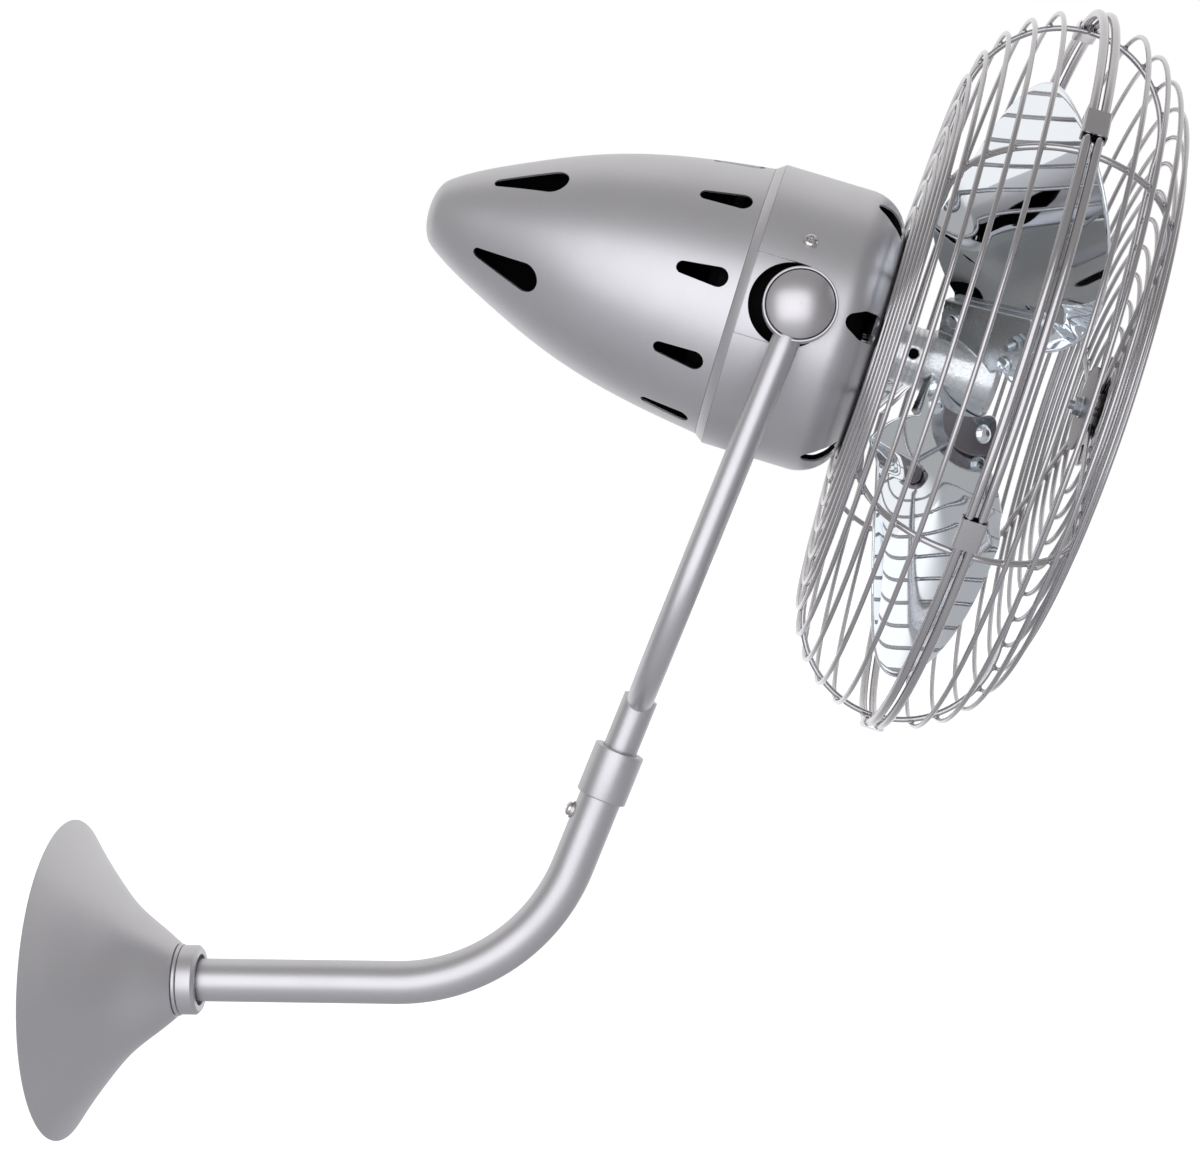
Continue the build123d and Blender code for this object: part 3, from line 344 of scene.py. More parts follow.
def round_bar(path: Array, normal: Array, radius: float, sides: int, bite: float = 0.3) -> Surface:
    """A round bar carried along a plane path, with its ends rounded by a small bite.

    Each ring is path + radius (cos v side + sin v normal), where side = normal x heading.

    Args:
        path: points of the centreline.
        normal: unit normal of the plane that holds the path.
        radius: the bar's radius.
        sides: number of steps round the bar.
        bite: radius of the rounding at each end.

    Returns:
        The closed bar.
    """
    heading = unit(np.gradient(path, axis=0))
    swell = np.radians(np.linspace(0.0, 90.0, 4))
    lead = -bite * np.cos(swell)
    taper = radius - bite + bite * np.sin(swell)
    offsets = np.concatenate([lead[:1], lead[:-1], np.zeros(len(path)), -lead[:-1][::-1], -lead[:1]])
    radii = np.concatenate([[0.0], taper[:-1], np.full(len(path), radius), taper[:-1][::-1], [0.0]])
    ends = ((len(swell), len(swell)), (0, 0))
    headings = np.pad(heading, ends, "edge")
    centres = np.pad(path, ends, "edge") + headings * offsets[:, None]
    side = np.cross(normal, headings)
    v = steps_round(sides)
    round_part = np.cos(v)[None, :, None] * side[:, None] + np.sin(v)[None, :, None] * normal
    return grid(centres[:, None] + radii[:, None, None] * round_part)


def wire_ring(radius: float, station: float, wire_r: float, segments: int, sides: int = 12) -> Surface:
    """A round wire bent into a circle about z."""
    return lathe(arc((radius, station), wire_r, 0.0, 360.0, sides + 1)[:-1], segments, True)


def bead(centre: Array, axes: Array, radii: Sequence[float]) -> Surface:
    """A small ellipsoid, as a weld leaves: centre + a sin u cos v, b sin u sin v and c cos u.

    Args:
        centre: its centre.
        axes: its three directions, as rows.
        radii: its three half widths.

    Returns:
        The closed bead.
    """
    u = np.linspace(0.0, math.pi, 6)[:, None]
    v = steps_round(8)
    local = stack(np.sin(u) * np.cos(v), np.sin(u) * np.sin(v), np.cos(u))
    return grid(centre + (local * np.asarray(radii)) @ axes)


# ---------------------------------------------------------------- pierced sheets
@dataclass
class TurnedSheet:
    """Sheet metal turned about z and pierced by openings, with a real wall.

    A point of the outside is (r(u) cos v, r(u) sin v, s(u)), u being the length along the profile.
    Grid points next to an opening slide along the sheet on to its edge, so the edge is a clean line.
    """

    profile: Array
    wall: float

    def __post_init__(self) -> None:
        """Works out the length along the profile and the outward normal at each of its points."""
        steps = np.linalg.norm(np.diff(self.profile, axis=0), axis=1)
        self.length = np.concatenate([[0.0], np.cumsum(steps)])
        heading = unit(np.gradient(self.profile, self.length, axis=0))
        self.outward = stack(heading[:, 1], -heading[:, 0])

    def _read(self, table: Array, u: Array) -> tuple[Array, Array]:
        """Both columns of a table along the profile, read at the lengths u."""
        return np.interp(u, self.length, table[:, 0]), np.interp(u, self.length, table[:, 1])

    def at(self, u: Array, v: Array) -> Array:
        """Points of the outside at the length u and the angle v."""
        radius, station = self._read(self.profile, u)
        return around(radius, v, station)

    def normal(self, u: Array, v: Array) -> Array:
        """Outward unit normals at the length u and the angle v."""
        radial, axial = self._read(self.outward, u)
        return unit(around(radial, v, axial))

    def _slide(self, u: Array, v: Array, distance: Distance, moving: Array) -> tuple[Array, Array]:
        """Newton steps along the sheet that bring the moving grid points on to an opening's edge."""
        probe, steps, least = 1e-3, 6, 0.05
        for _ in range(steps):
            radius = np.maximum(np.interp(u, self.length, self.profile[:, 0]), 1.0)
            here = distance(self.at(u, v))
            along = (distance(self.at(u + probe, v)) - here) / probe
            across = (distance(self.at(u, v + probe / radius)) - here) / probe
            share = np.where(moving, here / np.maximum(along**2 + across**2, least), 0.0)
            u, v = u - share * along, v - share * across / radius
        return u, v

    def build(self, rows: Array, segments: int, distance: Distance) -> Surface:
        """Makes the pierced sheet with its inside and the walls of its openings.

        Args:
            rows: lengths along the profile of the grid's rows.
            segments: number of grid columns round the axis.
            distance: distance in millimetres from the nearest opening's edge, below zero in it.

        Returns:
            The closed sheet: outside and edges in finish 0, inside in finish 1.
        """
        u, v = np.meshgrid(rows, steps_round(segments), indexing="ij")
        gap = distance(self.at(u, v))
        void = gap < 0
        moving = np.zeros_like(void)
        for axis, step in ((0, 1), (0, -1), (1, 1), (1, -1)):
            other = np.roll(gap, step, axis)
            differs = (other < 0) != void
            if axis == 0:
                differs[0 if step == 1 else -1] = False
            moving |= differs & (np.abs(gap) <= np.abs(other))
        u, v = self._slide(u, v, distance, moving)
        side = np.where(moving, 0, np.where(void, -1, 1)).ravel()
        outside = self._kept_faces(grid_quads(len(rows), segments, True, False), side)
        points, normals = self.at(u, v).reshape(-1, 3), self.normal(u, v).reshape(-1, 3)
        return self._thicken(points, normals, outside)

    @staticmethod
    def _kept_faces(quads: Array, side: Array) -> list[Array]:
        """Quads on the metal, and the metal half of each quad that an edge crosses by its diagonal."""
        sides = side[quads]
        whole = (sides >= 0).all(1) & (sides > 0).any(1)
        triangles = []
        for corner in range(4):
            split = (sides[:, corner] > 0) & (sides[:, (corner + 2) % 4] < 0)
            triangles.append(quads[split][:, [(corner - 1) % 4, corner, (corner + 1) % 4]])
        return [quads[whole], np.concatenate(triangles)]

    def _thicken(self, points: Array, normals: Array, outside: list[Array]) -> Surface:
        """Adds the inside, one wall's thickness in, and quads along every open edge."""
        used = np.unique(np.concatenate([face.ravel() for face in outside]))
        number = np.full(len(points), -1)
        number[used] = np.arange(len(used))
        outside = [number[face] for face in outside]
        points, normals = points[used], normals[used]
        edges = np.concatenate([stack(f, np.roll(f, -1, 1)).reshape(-1, 2) for f in outside])
        key = edges.min(1) * len(points) + edges.max(1)
        _, first, count = np.unique(key, return_index=True, return_counts=True)
        rim = edges[first[count == 1]]
        rim = rim[np.linalg.norm(points[rim[:, 0]] - points[rim[:, 1]], axis=1) > 1e-6]
        walls = stack(rim[:, 1], rim[:, 0], rim[:, 0] + len(points), rim[:, 1] + len(points))
        inside = [face[:, ::-1] + len(points) for face in outside]
        both = np.concatenate([points, points - self.wall * normals])
        return Surface(both, [*outside, walls, *inside], [0, 0, 0, 1, 1])


def nearest(*distances: Array) -> Array:
    """Distance to the nearest of several openings."""
    return np.minimum.reduce(distances)


def teardrop_gap(
    along: Array, across: Array, low: float, high: float, low_r: float, high_r: float
) -> Array:
    """Distance from an outline round two circles, below zero inside it.

    Args:
        along: place along the outline's axis.
        across: place across it.
        low: where the outline begins on the axis.
        high: where it ends.
        low_r: radius of the round end at low.
        high_r: radius of the round end at high.

    Returns:
        The distances: to an end's circle beyond its tangent point, else to the straight side.
    """
    y, x = along - (low + low_r), np.abs(across)
    span = (high - high_r) - (low + low_r)
    lean = (low_r - high_r) / span
    level = math.sqrt(1.0 - lean * lean)
    k = -lean * x + level * y
    side = level * x + lean * y - low_r
    gap = np.where(k > level * span, np.hypot(x, y - span) - high_r, side)
    return np.where(k < 0.0, np.hypot(x, y) - low_r, gap)


def round_two_gap(x: Array, y: Array, first: Sequence[float], second: Sequence[float]) -> Array:
    """Distance from an outline drawn tight round two circles, each given as (x, y, radius)."""
    start, end = np.array(first[:2]), np.array(second[:2])
    length = float(np.linalg.norm(end - start))
    run = (end - start) / length
    along = (x - start[0]) * run[0] + (y - start[1]) * run[1]
    beside = (y - start[1]) * run[0] - (x - start[0]) * run[1]
    return teardrop_gap(along, beside, -first[2], length + second[2], first[2], second[2])


# ---------------------------------------------------------------- finishes
def linear(colour: str) -> tuple[float, float, float, float]:
    """An sRGB hex colour such as "#B9B3AE" as linear red, green, blue and an alpha of one."""
    levels = [int(colour[i : i + 2], 16) / 255.0 for i in (1, 3, 5)]
    red, green, blue = [c / 12.92 if c <= 0.04045 else ((c + 0.055) / 1.055) ** 2.4 for c in levels]
    return red, green, blue, 1.0


WHITE = linear("#FFFFFF")
# Slow clouding that every finish has under its own pattern: its size and its share of the pattern.
CLOUD_MM, CLOUD_SHARE = 28.0, 0.6


def empty_tree(owner: bpy.types.Material | bpy.types.World) -> bpy.types.NodeTree:
    """Turns on a material's or a world's nodes and clears what they start with."""
    owner.use_nodes = True
    owner.node_tree.nodes.clear()
    return owner.node_tree


def add_node(
    tree: bpy.types.NodeTree, kind: str, inputs: dict | None = None, **settings: str
) -> bpy.types.bpy_prop_collection:
    """Adds a node with its settings, and a value or a link for each named input.

    Args:
        tree: the node tree.
        kind: the node's type name, less the ShaderNode that it begins with.
        inputs: what each input takes, an output socket to link or a plain value.
        **settings: properties of the node itself.

    Returns:
        The new node's outputs.
    """
    node = tree.nodes.new("ShaderNode" + kind)
    for name, value in settings.items():
        setattr(node, name, value)
    for name, value in (inputs or {}).items():
        if isinstance(value, Socket):
            tree.links.new(value, node.inputs[name])
        else:
            node.inputs[name].default_value = value
    return node.outputs


class Texture(Enum):
    """How a metal's surface was made, which settles the pattern that its finish carries."""

    GRAIN = "sprayed lacquer, a fine even grain"
    CAST = "sand cast, pits and lumps"
    TURNED = "turned on a lathe, fine rings about the shaft"
    ROLLED = "rolled sheet, polished, barely wavy"
    STACKED = "thin laminations pressed in a stack"
    WOUND = "enamelled wire wound in turns"


@dataclass(frozen=True)
class Finish:
    """One surface finish, as what it is made of and how its surface was made."""

    name: str
    slot: str
    colour: str
    deep: str
    texture: Texture
    roughness: float
    spread: float
    size_mm: float
    relief_mm: float
    metallic: float = 1.0
    coat: float = 0.0
    gloss: float = 0.5

    def material(self, shaft_tilt: float) -> bpy.types.Material:
        """Builds the finish's node material.

        Args:
            shaft_tilt: angle in radians of the shaft below the level, which turned rings follow.

        Returns:
            A material whose colour, roughness and bump all follow one pattern of a real size.
        """
        material = bpy.data.materials.new(self.name)
        node = partial(add_node, empty_tree(material))
        place = node("TexCoord")["Object"]
        pattern = self._pattern(node, place, shaft_tilt)
        cloud = node("TexNoise", {"Vector": place, "Scale": 1.0 / (CLOUD_MM * MM), "Detail": 2.0})["Fac"]
        # The mix lies between about 0.3 and 1.3, which are taken to the darker and the lighter look.
        mixed = node("Math", {0: cloud, 1: CLOUD_SHARE, 2: pattern}, operation="MULTIPLY_ADD")[0]
        level = node("MapRange", {"Value": mixed, "From Min": 0.3, "From Max": 1.3})["Result"]
        tint = node("Mix", {0: level, 6: linear(self.deep), 7: linear(self.colour)}, data_type="RGBA")[2]
        dull, bright = self.roughness + self.spread, self.roughness - self.spread
        rough = node("MapRange", {"Value": level, "To Min": dull, "To Max": bright})["Result"]
        relief = {"Strength": 1.0, "Distance": self.relief_mm * MM, "Height": pattern}
        shader = node(
            "BsdfPrincipled",
            {
                "Base Color": tint,
                "Metallic": self.metallic,
                "Roughness": rough,
                "Normal": node("Bump", relief)["Normal"],
                "Coat Weight": self.coat,
                "Specular IOR Level": self.gloss,
            },
        )
        node("OutputMaterial", {"Surface": shader[0]})
        return material

    def _pattern(self, node: AddNode, place: Socket, shaft_tilt: float) -> Socket:
        """The pattern's height from 0 to 1, at the finish's own size."""
        at_size = {"Vector": place, "Scale": 1.0 / (self.size_mm * MM)}
        if self.texture is Texture.CAST:
            lumps = node("TexNoise", {**at_size, "Detail": 5.0, "Roughness": 0.65})["Fac"]
            # Pits lie a little wider apart than the lumps, and sink them to nothing at their middles.
            pits = node("TexVoronoi", {**at_size, "Scale": at_size["Scale"] * 0.7})[0]
            edge = node("MapRange", {"Value": pits, "From Max": 0.28})["Result"]
            return node("Math", {0: lumps, 1: edge}, operation="MULTIPLY")[0]
        if self.texture in (Texture.TURNED, Texture.STACKED, Texture.WOUND):
            return self._rings(node, place, shaft_tilt)
        return node("TexNoise", {**at_size, "Detail": 3.0 if self.texture is Texture.GRAIN else 0.0})["Fac"]

    def _rings(self, node: AddNode, place: Socket, shaft_tilt: float) -> Socket:
        """Rings along the shaft, the Mapping node's turned x axis: they repeat every 2 pi sizes."""
        level = {"Vector": place, "Rotation": (0.0, -shaft_tilt, 0.0)}
        along = node("Mapping", level, vector_type="POINT")[0]
        rings = {"Vector": along, "Scale": 0.05 / (self.size_mm * MM), "Distortion": 0.6, "Detail": 1.0}
        return node("TexWave", rings, wave_type="BANDS", bands_direction="X")["Fac"]


# Satin nickel lacquer: a sprayed metallic coat, so the light spreads softly and shows a fine even grain.
SATIN_NICKEL = Finish(
    "satin_nickel_lacquer", "satin_nickel", "#C8C6C9", "#BDBBBE", Texture.GRAIN, 0.42, 0.02, 0.5, 0.004
)
# The same lacquer over a pressed and polished cap: the highlight draws together at the crown.
CAP_NICKEL = Finish(
    "satin_nickel_cap", "satin_nickel", "#C6C3C5", "#B9B6B8", Texture.GRAIN, 0.36, 0.02, 0.5, 0.004
)
# The same lacquer on the cage's drawn wire, a little smoother because the wire beneath is.
CAGE_WIRE = Finish(
    "satin_nickel_wire", "cage_wire", "#BCB9BB", "#ABA8AA", Texture.GRAIN, 0.17, 0.03, 0.6, 0.004
)
# The wire finish darkened as painted shade, for a face that sits in shade behind the badge: brownish and
# dull.
SHADED_DARK_LACQUER = Finish(
    "wire_lacquer_dark_as_shade", "cage_wire", "#9A9395", "#837C7E", Texture.GRAIN, 0.42, 0.05, 0.8, 0.006
)
# Chromium plate on polished steel sheet: a cold mirror with a barely wavy surface.
MIRROR_CHROME = Finish(
    "mirror_chrome_plate", "mirror_chrome", "#EEF2F6", "#E9EEF3", Texture.ROLLED, 0.035, 0.01, 22.0, 0.03
)
# Aluminium casting, tumbled but not machined: grey, pitted and lumpy.
CAST_ALUMINIUM = Finish(
    "cast_aluminium", "cast_aluminium", "#E2E4E6", "#B4B7BA", Texture.CAST, 0.22, 0.08, 1.6, 0.085
)
# The same aluminium where the lathe has cut it: brighter, with fine rings.
TURNED_ALUMINIUM = Finish(
    "turned_aluminium", "cast_aluminium", "#DADBDD", "#C4C6C9", Texture.TURNED, 0.22, 0.05, 0.5, 0.008
)
# Zinc plate with its bluish passivation, as bought screws have.
ZINC_PLATE = Finish(
    "blue_zinc_plate", "plated_screw", "#C3C9CE", "#9AA1A7", Texture.GRAIN, 0.24, 0.05, 1.2, 0.01
)
# Nickel plate over a pressed head: warmer than the zinc and more mirror-like.
NICKEL_PLATE = Finish(
    "bright_nickel_plate", "plated_screw", "#DEDADA", "#B4AFAF", Texture.GRAIN, 0.14, 0.04, 1.2, 0.01
)
# Screws with a black oxide skin, oiled; their near black also stands as painted shade, so they stay unseen
# behind the openings.
BLACK_OXIDE_AND_SHADE = Finish(
    "black_oxide_and_shade", "plated_screw", "#17171A", "#0D0D0F", Texture.GRAIN, 0.5, 0.05, 1.2, 0.01
)
# Mill-finished mild steel, oiled and left bare.
BARE_STEEL = Finish(
    "bare_mild_steel", "bare_steel", "#C6C4C1", "#AFADAA", Texture.GRAIN, 0.34, 0.06, 1.0, 0.01
)
# Steel ground to size, as shafts and bearing races are: fine rings under a higher shine.
GROUND_STEEL = Finish(
    "ground_steel", "bare_steel", "#CFD0D1", "#BABBBC", Texture.TURNED, 0.18, 0.04, 0.6, 0.004
)
# Stamped laminations, seen edge-on as fine lines.
LAMINATIONS = Finish(
    "stamped_laminations", "bare_steel", "#7C7B79", "#3E3C3A", Texture.STACKED, 0.5, 0.08, 1.0, 0.05
)
# Enamelled copper wire in its turns.
COPPER_WIRE = Finish(
    "enamelled_copper", "copper_wire", "#B5652F", "#6E3517", Texture.WOUND, 0.32, 0.06, 1.1, 0.25, 1.0, 0.4
)
# Oil-soaked sintered bronze, dull and finely porous.
SINTERED_BRONZE = Finish(
    "sintered_bronze", "bronze", "#B08A4E", "#7E5E30", Texture.CAST, 0.46, 0.06, 0.7, 0.03
)
# Air-dried black enamel on the motor's castings and inside the housing, near black as painted shade: no
# light comes back through slots.
BLACK_ENAMEL_AND_SHADE = Finish(
    "black_enamel", "black_enamel", "#070708", "#030304", Texture.GRAIN, 0.7, 0.08, 1.4, 0.02, 0.0, 0.0, 0.1
)
# Moulded black phenolic, with a slight sheen.
BLACK_PLASTIC = Finish(
    "moulded_phenolic", "black_plastic", "#161616", "#0E0E0E", Texture.GRAIN, 0.45, 0.05, 0.8, 0.01, 0.0
)


def new_object(name: str, data: bpy.types.ID) -> bpy.types.Object:
    """Makes an object of a mesh, lamp or camera and links it to the scene."""
    made = bpy.data.objects.new(name, data)
    bpy.context.scene.collection.objects.link(made)
    return made


class Workshop:
    """Makes pieces: builds their meshes, dresses them and ties them to the frame."""

    def __init__(self, nodes: dict[str, bpy.types.Object], shaft_tilt: float) -> None:
        """Keeps the frame's nodes and the shaft's tilt, and starts with no materials made."""
        self.nodes = nodes
        self.shaft_tilt = shaft_tilt
        self.materials: dict[str, bpy.types.Material] = {}

    def material(self, finish: Finish) -> bpy.types.Material:
        """The finish's material, built the first time that it is asked for."""
        if finish.name not in self.materials:
            self.materials[finish.name] = finish.material(self.shaft_tilt)
        return self.materials[finish.name]

    def piece(
        self,
        name: str,
        surface: Surface,
        axes: Axes,
        body: str,
        finishes: Sequence[Finish],
        replaced: Sequence[str],
    ) -> None:
        """Makes one visible piece and ties it to its body.

        Args:
            name: the piece's name.
            surface: its surface in local millimetres.
            axes: the axes that it is drawn in.
            body: the body that it moves with.
            finishes: the finishes that the surface's finish numbers stand for.
            replaced: the construction nodes that it stands for.
        """
        mesh = bpy.data.meshes.new(name)
        points = axes.place(surface.points).astype(np.float32)
        pairs = [(f, n) for f, n in zip(surface.faces, surface.finish) if len(f)]
        counts = np.concatenate([np.full(len(f), f.shape[1]) for f, _ in pairs])
        mesh.vertices.add(len(points))
        mesh.vertices.foreach_set("co", points.ravel())
        mesh.loops.add(int(counts.sum()))
        mesh.loops.foreach_set("vertex_index", np.concatenate([f.ravel() for f, _ in pairs]))
        mesh.polygons.add(len(counts))
        mesh.polygons.foreach_set("loop_start", np.cumsum(counts) - counts)
        mesh.polygons.foreach_set(
            "material_index", np.concatenate([np.full(len(f), n, np.int32) for f, n in pairs])
        )
        mesh.update(calc_edges=True)
        self.close_up(mesh)
        self.finish_piece(name, mesh, body, finishes, replaced)

    @staticmethod
    def close_up(mesh: bpy.types.Mesh) -> None:
        """Merges doubled points at seams and poles, then turns every face outwards."""
        joined = bmesh.new()
        joined.from_mesh(mesh)
        bmesh.ops.remove_doubles(joined, verts=joined.verts, dist=MERGE * MM)
        bmesh.ops.recalc_face_normals(joined, faces=joined.faces)
        joined.to_mesh(mesh)
        joined.free()

    def finish_piece(
        self,
        name: str,
        mesh: bpy.types.Mesh,
        body: str,
        finishes: Sequence[Finish],
        replaced: Sequence[str],
        sharp: float = 38.0,
    ) -> None:
        """Dresses a finished mesh, links it to the scene and ties it to the frame.

        Args:
            name: the piece's name.
            mesh: its mesh.
            body: the body that it moves with.
            finishes: the finishes that its faces' slots stand for.
            replaced: the construction nodes that it stands for.
            sharp: angle in degrees past which an edge is left sharp.
        """
        for finish in finishes:
            mesh.materials.append(self.material(finish))
        mesh.shade_smooth()
        mesh.set_sharp_from_angle(angle=math.radians(sharp))
        piece = new_object(name, mesh)
        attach(piece, body)
        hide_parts(*replaced)
        LOG.info("%s: %d faces on %s", name, len(mesh.polygons), body)

    def dress(self, finish: Finish, *names: str) -> None:
        """Gives construction nodes that stay in view their finish."""
        for name in names:
            slots = self.nodes[name].data.materials
            slots.clear()
            slots.append(self.material(finish))
            LOG.info("%s: dressed in %s", name, finish.name)


@dataclass(frozen=True)
class Screw:
    """A pan head with a cross recess, standing on z = 0, and the plain shank below it.

    The head's top is a height over a disc: a low dome less a recess whose walls rise over a
    short run. Its proportions are shares of the head's radius and height.
    """

    radius: float
    height: float
    slot_width: float
    shank_r: float
    length: float

    def head(self) -> Surface:
        """The closed head."""
        turn, crown, slot_r = steps_round(64), 0.92 * self.radius, 0.58 * self.radius
        rings = np.linspace(0.0, 0.92, 26)[:, None] * self.radius
        x, y = rings * np.cos(turn), rings * np.sin(turn)
        dome = self.height * (1.0 - 0.45 * (rings / self.radius) ** 3)
        cross = np.minimum(np.abs(x), np.abs(y)) - self.slot_width / 2
        gap = np.maximum(cross, np.hypot(x, y) - slot_r)
        depth = 0.78 * self.height * np.clip(0.5 - gap / (0.12 * self.radius), 0.0, 1.0)
        top = stack(x, y, dome - depth)
        rim = [(crown, 0.65 * self.height), (self.radius, 0.45 * self.height)]
        out, up = soften([*rim, (self.radius, 0.0), (0.0, 0.0)], 0.2, False).T[:, :, None]
        return grid(np.concatenate([top, around(out, turn, up)]))

    def build(self) -> Surface:
        """The head with its shank, which reaches a little way up into it."""
        return join([self.head(), peg(-self.length, 0.3, self.shank_r)])


def radial_place(part: Surface, phi: float, radius: float, station: float) -> Surface:
    """Stands a part drawn on z = 0 on a radius: its z points outwards at the angle phi."""
    return part.placed((radius, 0.0, station), -Z, Y, X).turned(phi)


@dataclass
class SubAssembly:
    """What every sub-assembly shares: its workshop and axes, its body and its usual finishes."""

    shop: Workshop
    axes: Axes
    body = "head"
    usual = (SATIN_NICKEL,)

    def _make(
        self, name: str, surface: Surface, node: str, *finishes: Finish, axes: Axes | None = None
    ) -> None:
        """Makes one piece in place of its node, in the usual finishes and axes unless others are given."""
        self.shop.piece(name, surface, axes or self.axes, self.body, finishes or self.usual, [node])


# ---------------------------------------------------------------- wall side
@dataclass
class WallSide(SubAssembly):
    """Canopy, its ring and collar, and the arm with its coupling, all fixed to the wall."""

    arm_axes: Axes
    body = "wall_arm"
    rim_r: float = 83.4
    rim_land: float = 2.4
    canopy_length: float = 58.6
    canopy_wall: float = 1.4
    canopy_clearance: float = 1.2
    flare: Knots = ((68.6, 10.0), (54.0, 21.0), (38.2, 35.0), (26.4, 50.0), (19.4, 58.6))
    ring_r: float = 18.7
    ring_t: float = 2.2
    ring_clearance: float = 0.6
    collar_r: float = 18.0
    collar_from: float = 2.4
    collar_length: float = 9.5
    collar_bevel: float = 1.6
    collar_clearance: float = 0.3
    collar_recess: Pair = (2.1, 4.0)
    tube_r: float = 11.1
    tube_start: float = 8.0
    bend_r: float = 100.0
    tube_top: float = -246.0
    coupling_r: float = 13.25
    coupling: Pair = (-264.8, -238.1)
    coupling_grip: float = 0.3
    coupling_shoulder: float = 3.0
    stem_bore: float = 9.2
    screw: Screw = Screw(3.7, 3.0, 1.2, 2.0, 3.5)
    screw_seat: float = 0.82
    screw_at: float = -276.4

    def build(self) -> None:
        """Makes every piece on the wall side."""
        self._canopy()
        self._ring_and_collar()
        self._arm_tube()
        self._coupling()
        self._swivel_screw()
        self.shop.dress(BARE_STEEL, "wall_plate", "arm_socket", "swivel_washer")
        self.shop.dress(ZINC_PLATE, "socket_screws", "arm_grub_screws", "terminal_screws")
        self.shop.dress(BLACK_PLASTIC, "terminal_block")

    def _canopy(self) -> None:
        """Spun flare: the outside is a smooth curve, and the inside is the same curve a wall in."""
        curve = smooth_curve([(self.rim_r, 0.0), *self.flare], 90)
        heading = unit(np.gradient(curve, axis=0))
        inner = curve - self.canopy_wall * stack(heading[:, 1], -heading[:, 0])
        hole_r, lip = self.tube_r + self.canopy_clearance, self.canopy_length - self.canopy_wall
        nose = [(hole_r, self.canopy_length), (hole_r, lip), (inner[-1][0] - 1.0, lip)]
        inner = inner[(inner[:, 1] > 0.2) & (inner[:, 1] < lip - 0.2)]
        back = [(self.rim_r - self.rim_land, 0.0)]
        profile = np.concatenate([curve, nose, inner[::-1], back])
        self._make("canopy_flare", turned_part(profile, 0.5, 192), "wall_canopy")

    def _ring_and_collar(self) -> None:
        """Thin ring at the canopy's nose, and the lock collar in front of it."""
        bore, back = self.tube_r + self.ring_clearance, self.canopy_length + SNUG
        front = back + self.ring_t
        ring = [(bore, back), (self.ring_r, back), (self.ring_r, front), (bore, front)]
        self._make("canopy_nose_ring", turned_part(ring, 0.7), "canopy_ring")
        bore, back = self.tube_r + self.collar_clearance, self.canopy_length + self.collar_from
        front = back + self.collar_length
        recess_r, recess_end = self.tube_r + self.collar_recess[0], front - self.collar_recess[1]
        collar = [
            (bore, back),
            (self.collar_r, back),
            (self.collar_r, front - self.collar_bevel),
            (self.collar_r - self.collar_bevel, front),
            (recess_r, front),
            (recess_r, recess_end),
            (bore, recess_end),
        ]
        self._make("canopy_lock_collar", turned_part(collar, 0.5), "canopy_collar")

    def _arm_tube(self) -> None:
        """Tube along a straight, a bend of the bend radius, and a straight up to the coupling."""
        slope = self.arm_axes.z
        angle = math.atan2(slope[2], slope[0])
        pivot = self.arm_axes.origin / MM
        corner_x = pivot[0] - pivot[2] / math.tan(angle)
        tangent = self.bend_r * math.tan(angle / 2)
        centre = (corner_x - tangent, self.bend_r)
        bend = arc(centre, self.bend_r, -90.0, math.degrees(angle) - 90.0, 40)
        top = (pivot + slope * self.tube_top)[[0, 2]]
        level = np.linspace((self.tube_start, 0.0), bend[0], 12)[:-1]
        route = np.concatenate([level, bend, np.linspace(bend[-1], top, 12)[1:]])
        bar = round_bar(stack(route[:, 0], 0.0, route[:, 1]), Y, self.tube_r, 64)
        self._make("arm_bent_tube", bar, "arm_tube", axes=Axes.along((0.0, 0.0, 0.0), Y, Z))

    def _coupling(self) -> None:
        """Sleeve over the tube's end, with a turned shoulder at each end."""
        low, high = self.coupling
        grip_r, shoulder = self.tube_r - self.coupling_grip, high - self.coupling_shoulder
        profile = [
            (grip_r, low),
            (self.coupling_r, low),
            (self.coupling_r, high),
            (self.stem_bore, high),
            (self.stem_bore, shoulder),
            (grip_r, shoulder),
        ]
        self._make("arm_coupling_sleeve", turned_part(profile, 0.8), "arm_coupling", axes=self.arm_axes)

    def _swivel_screw(self) -> None:
        """Pan screw on the arm's wall side that keeps the stem in the tube."""
        screw = radial_place(self.screw.build(), 180.0, self.tube_r + self.screw_seat, self.screw_at)
        self._make("swivel_screw_head", screw, "swivel_screw", NICKEL_PLATE, axes=self.arm_axes)


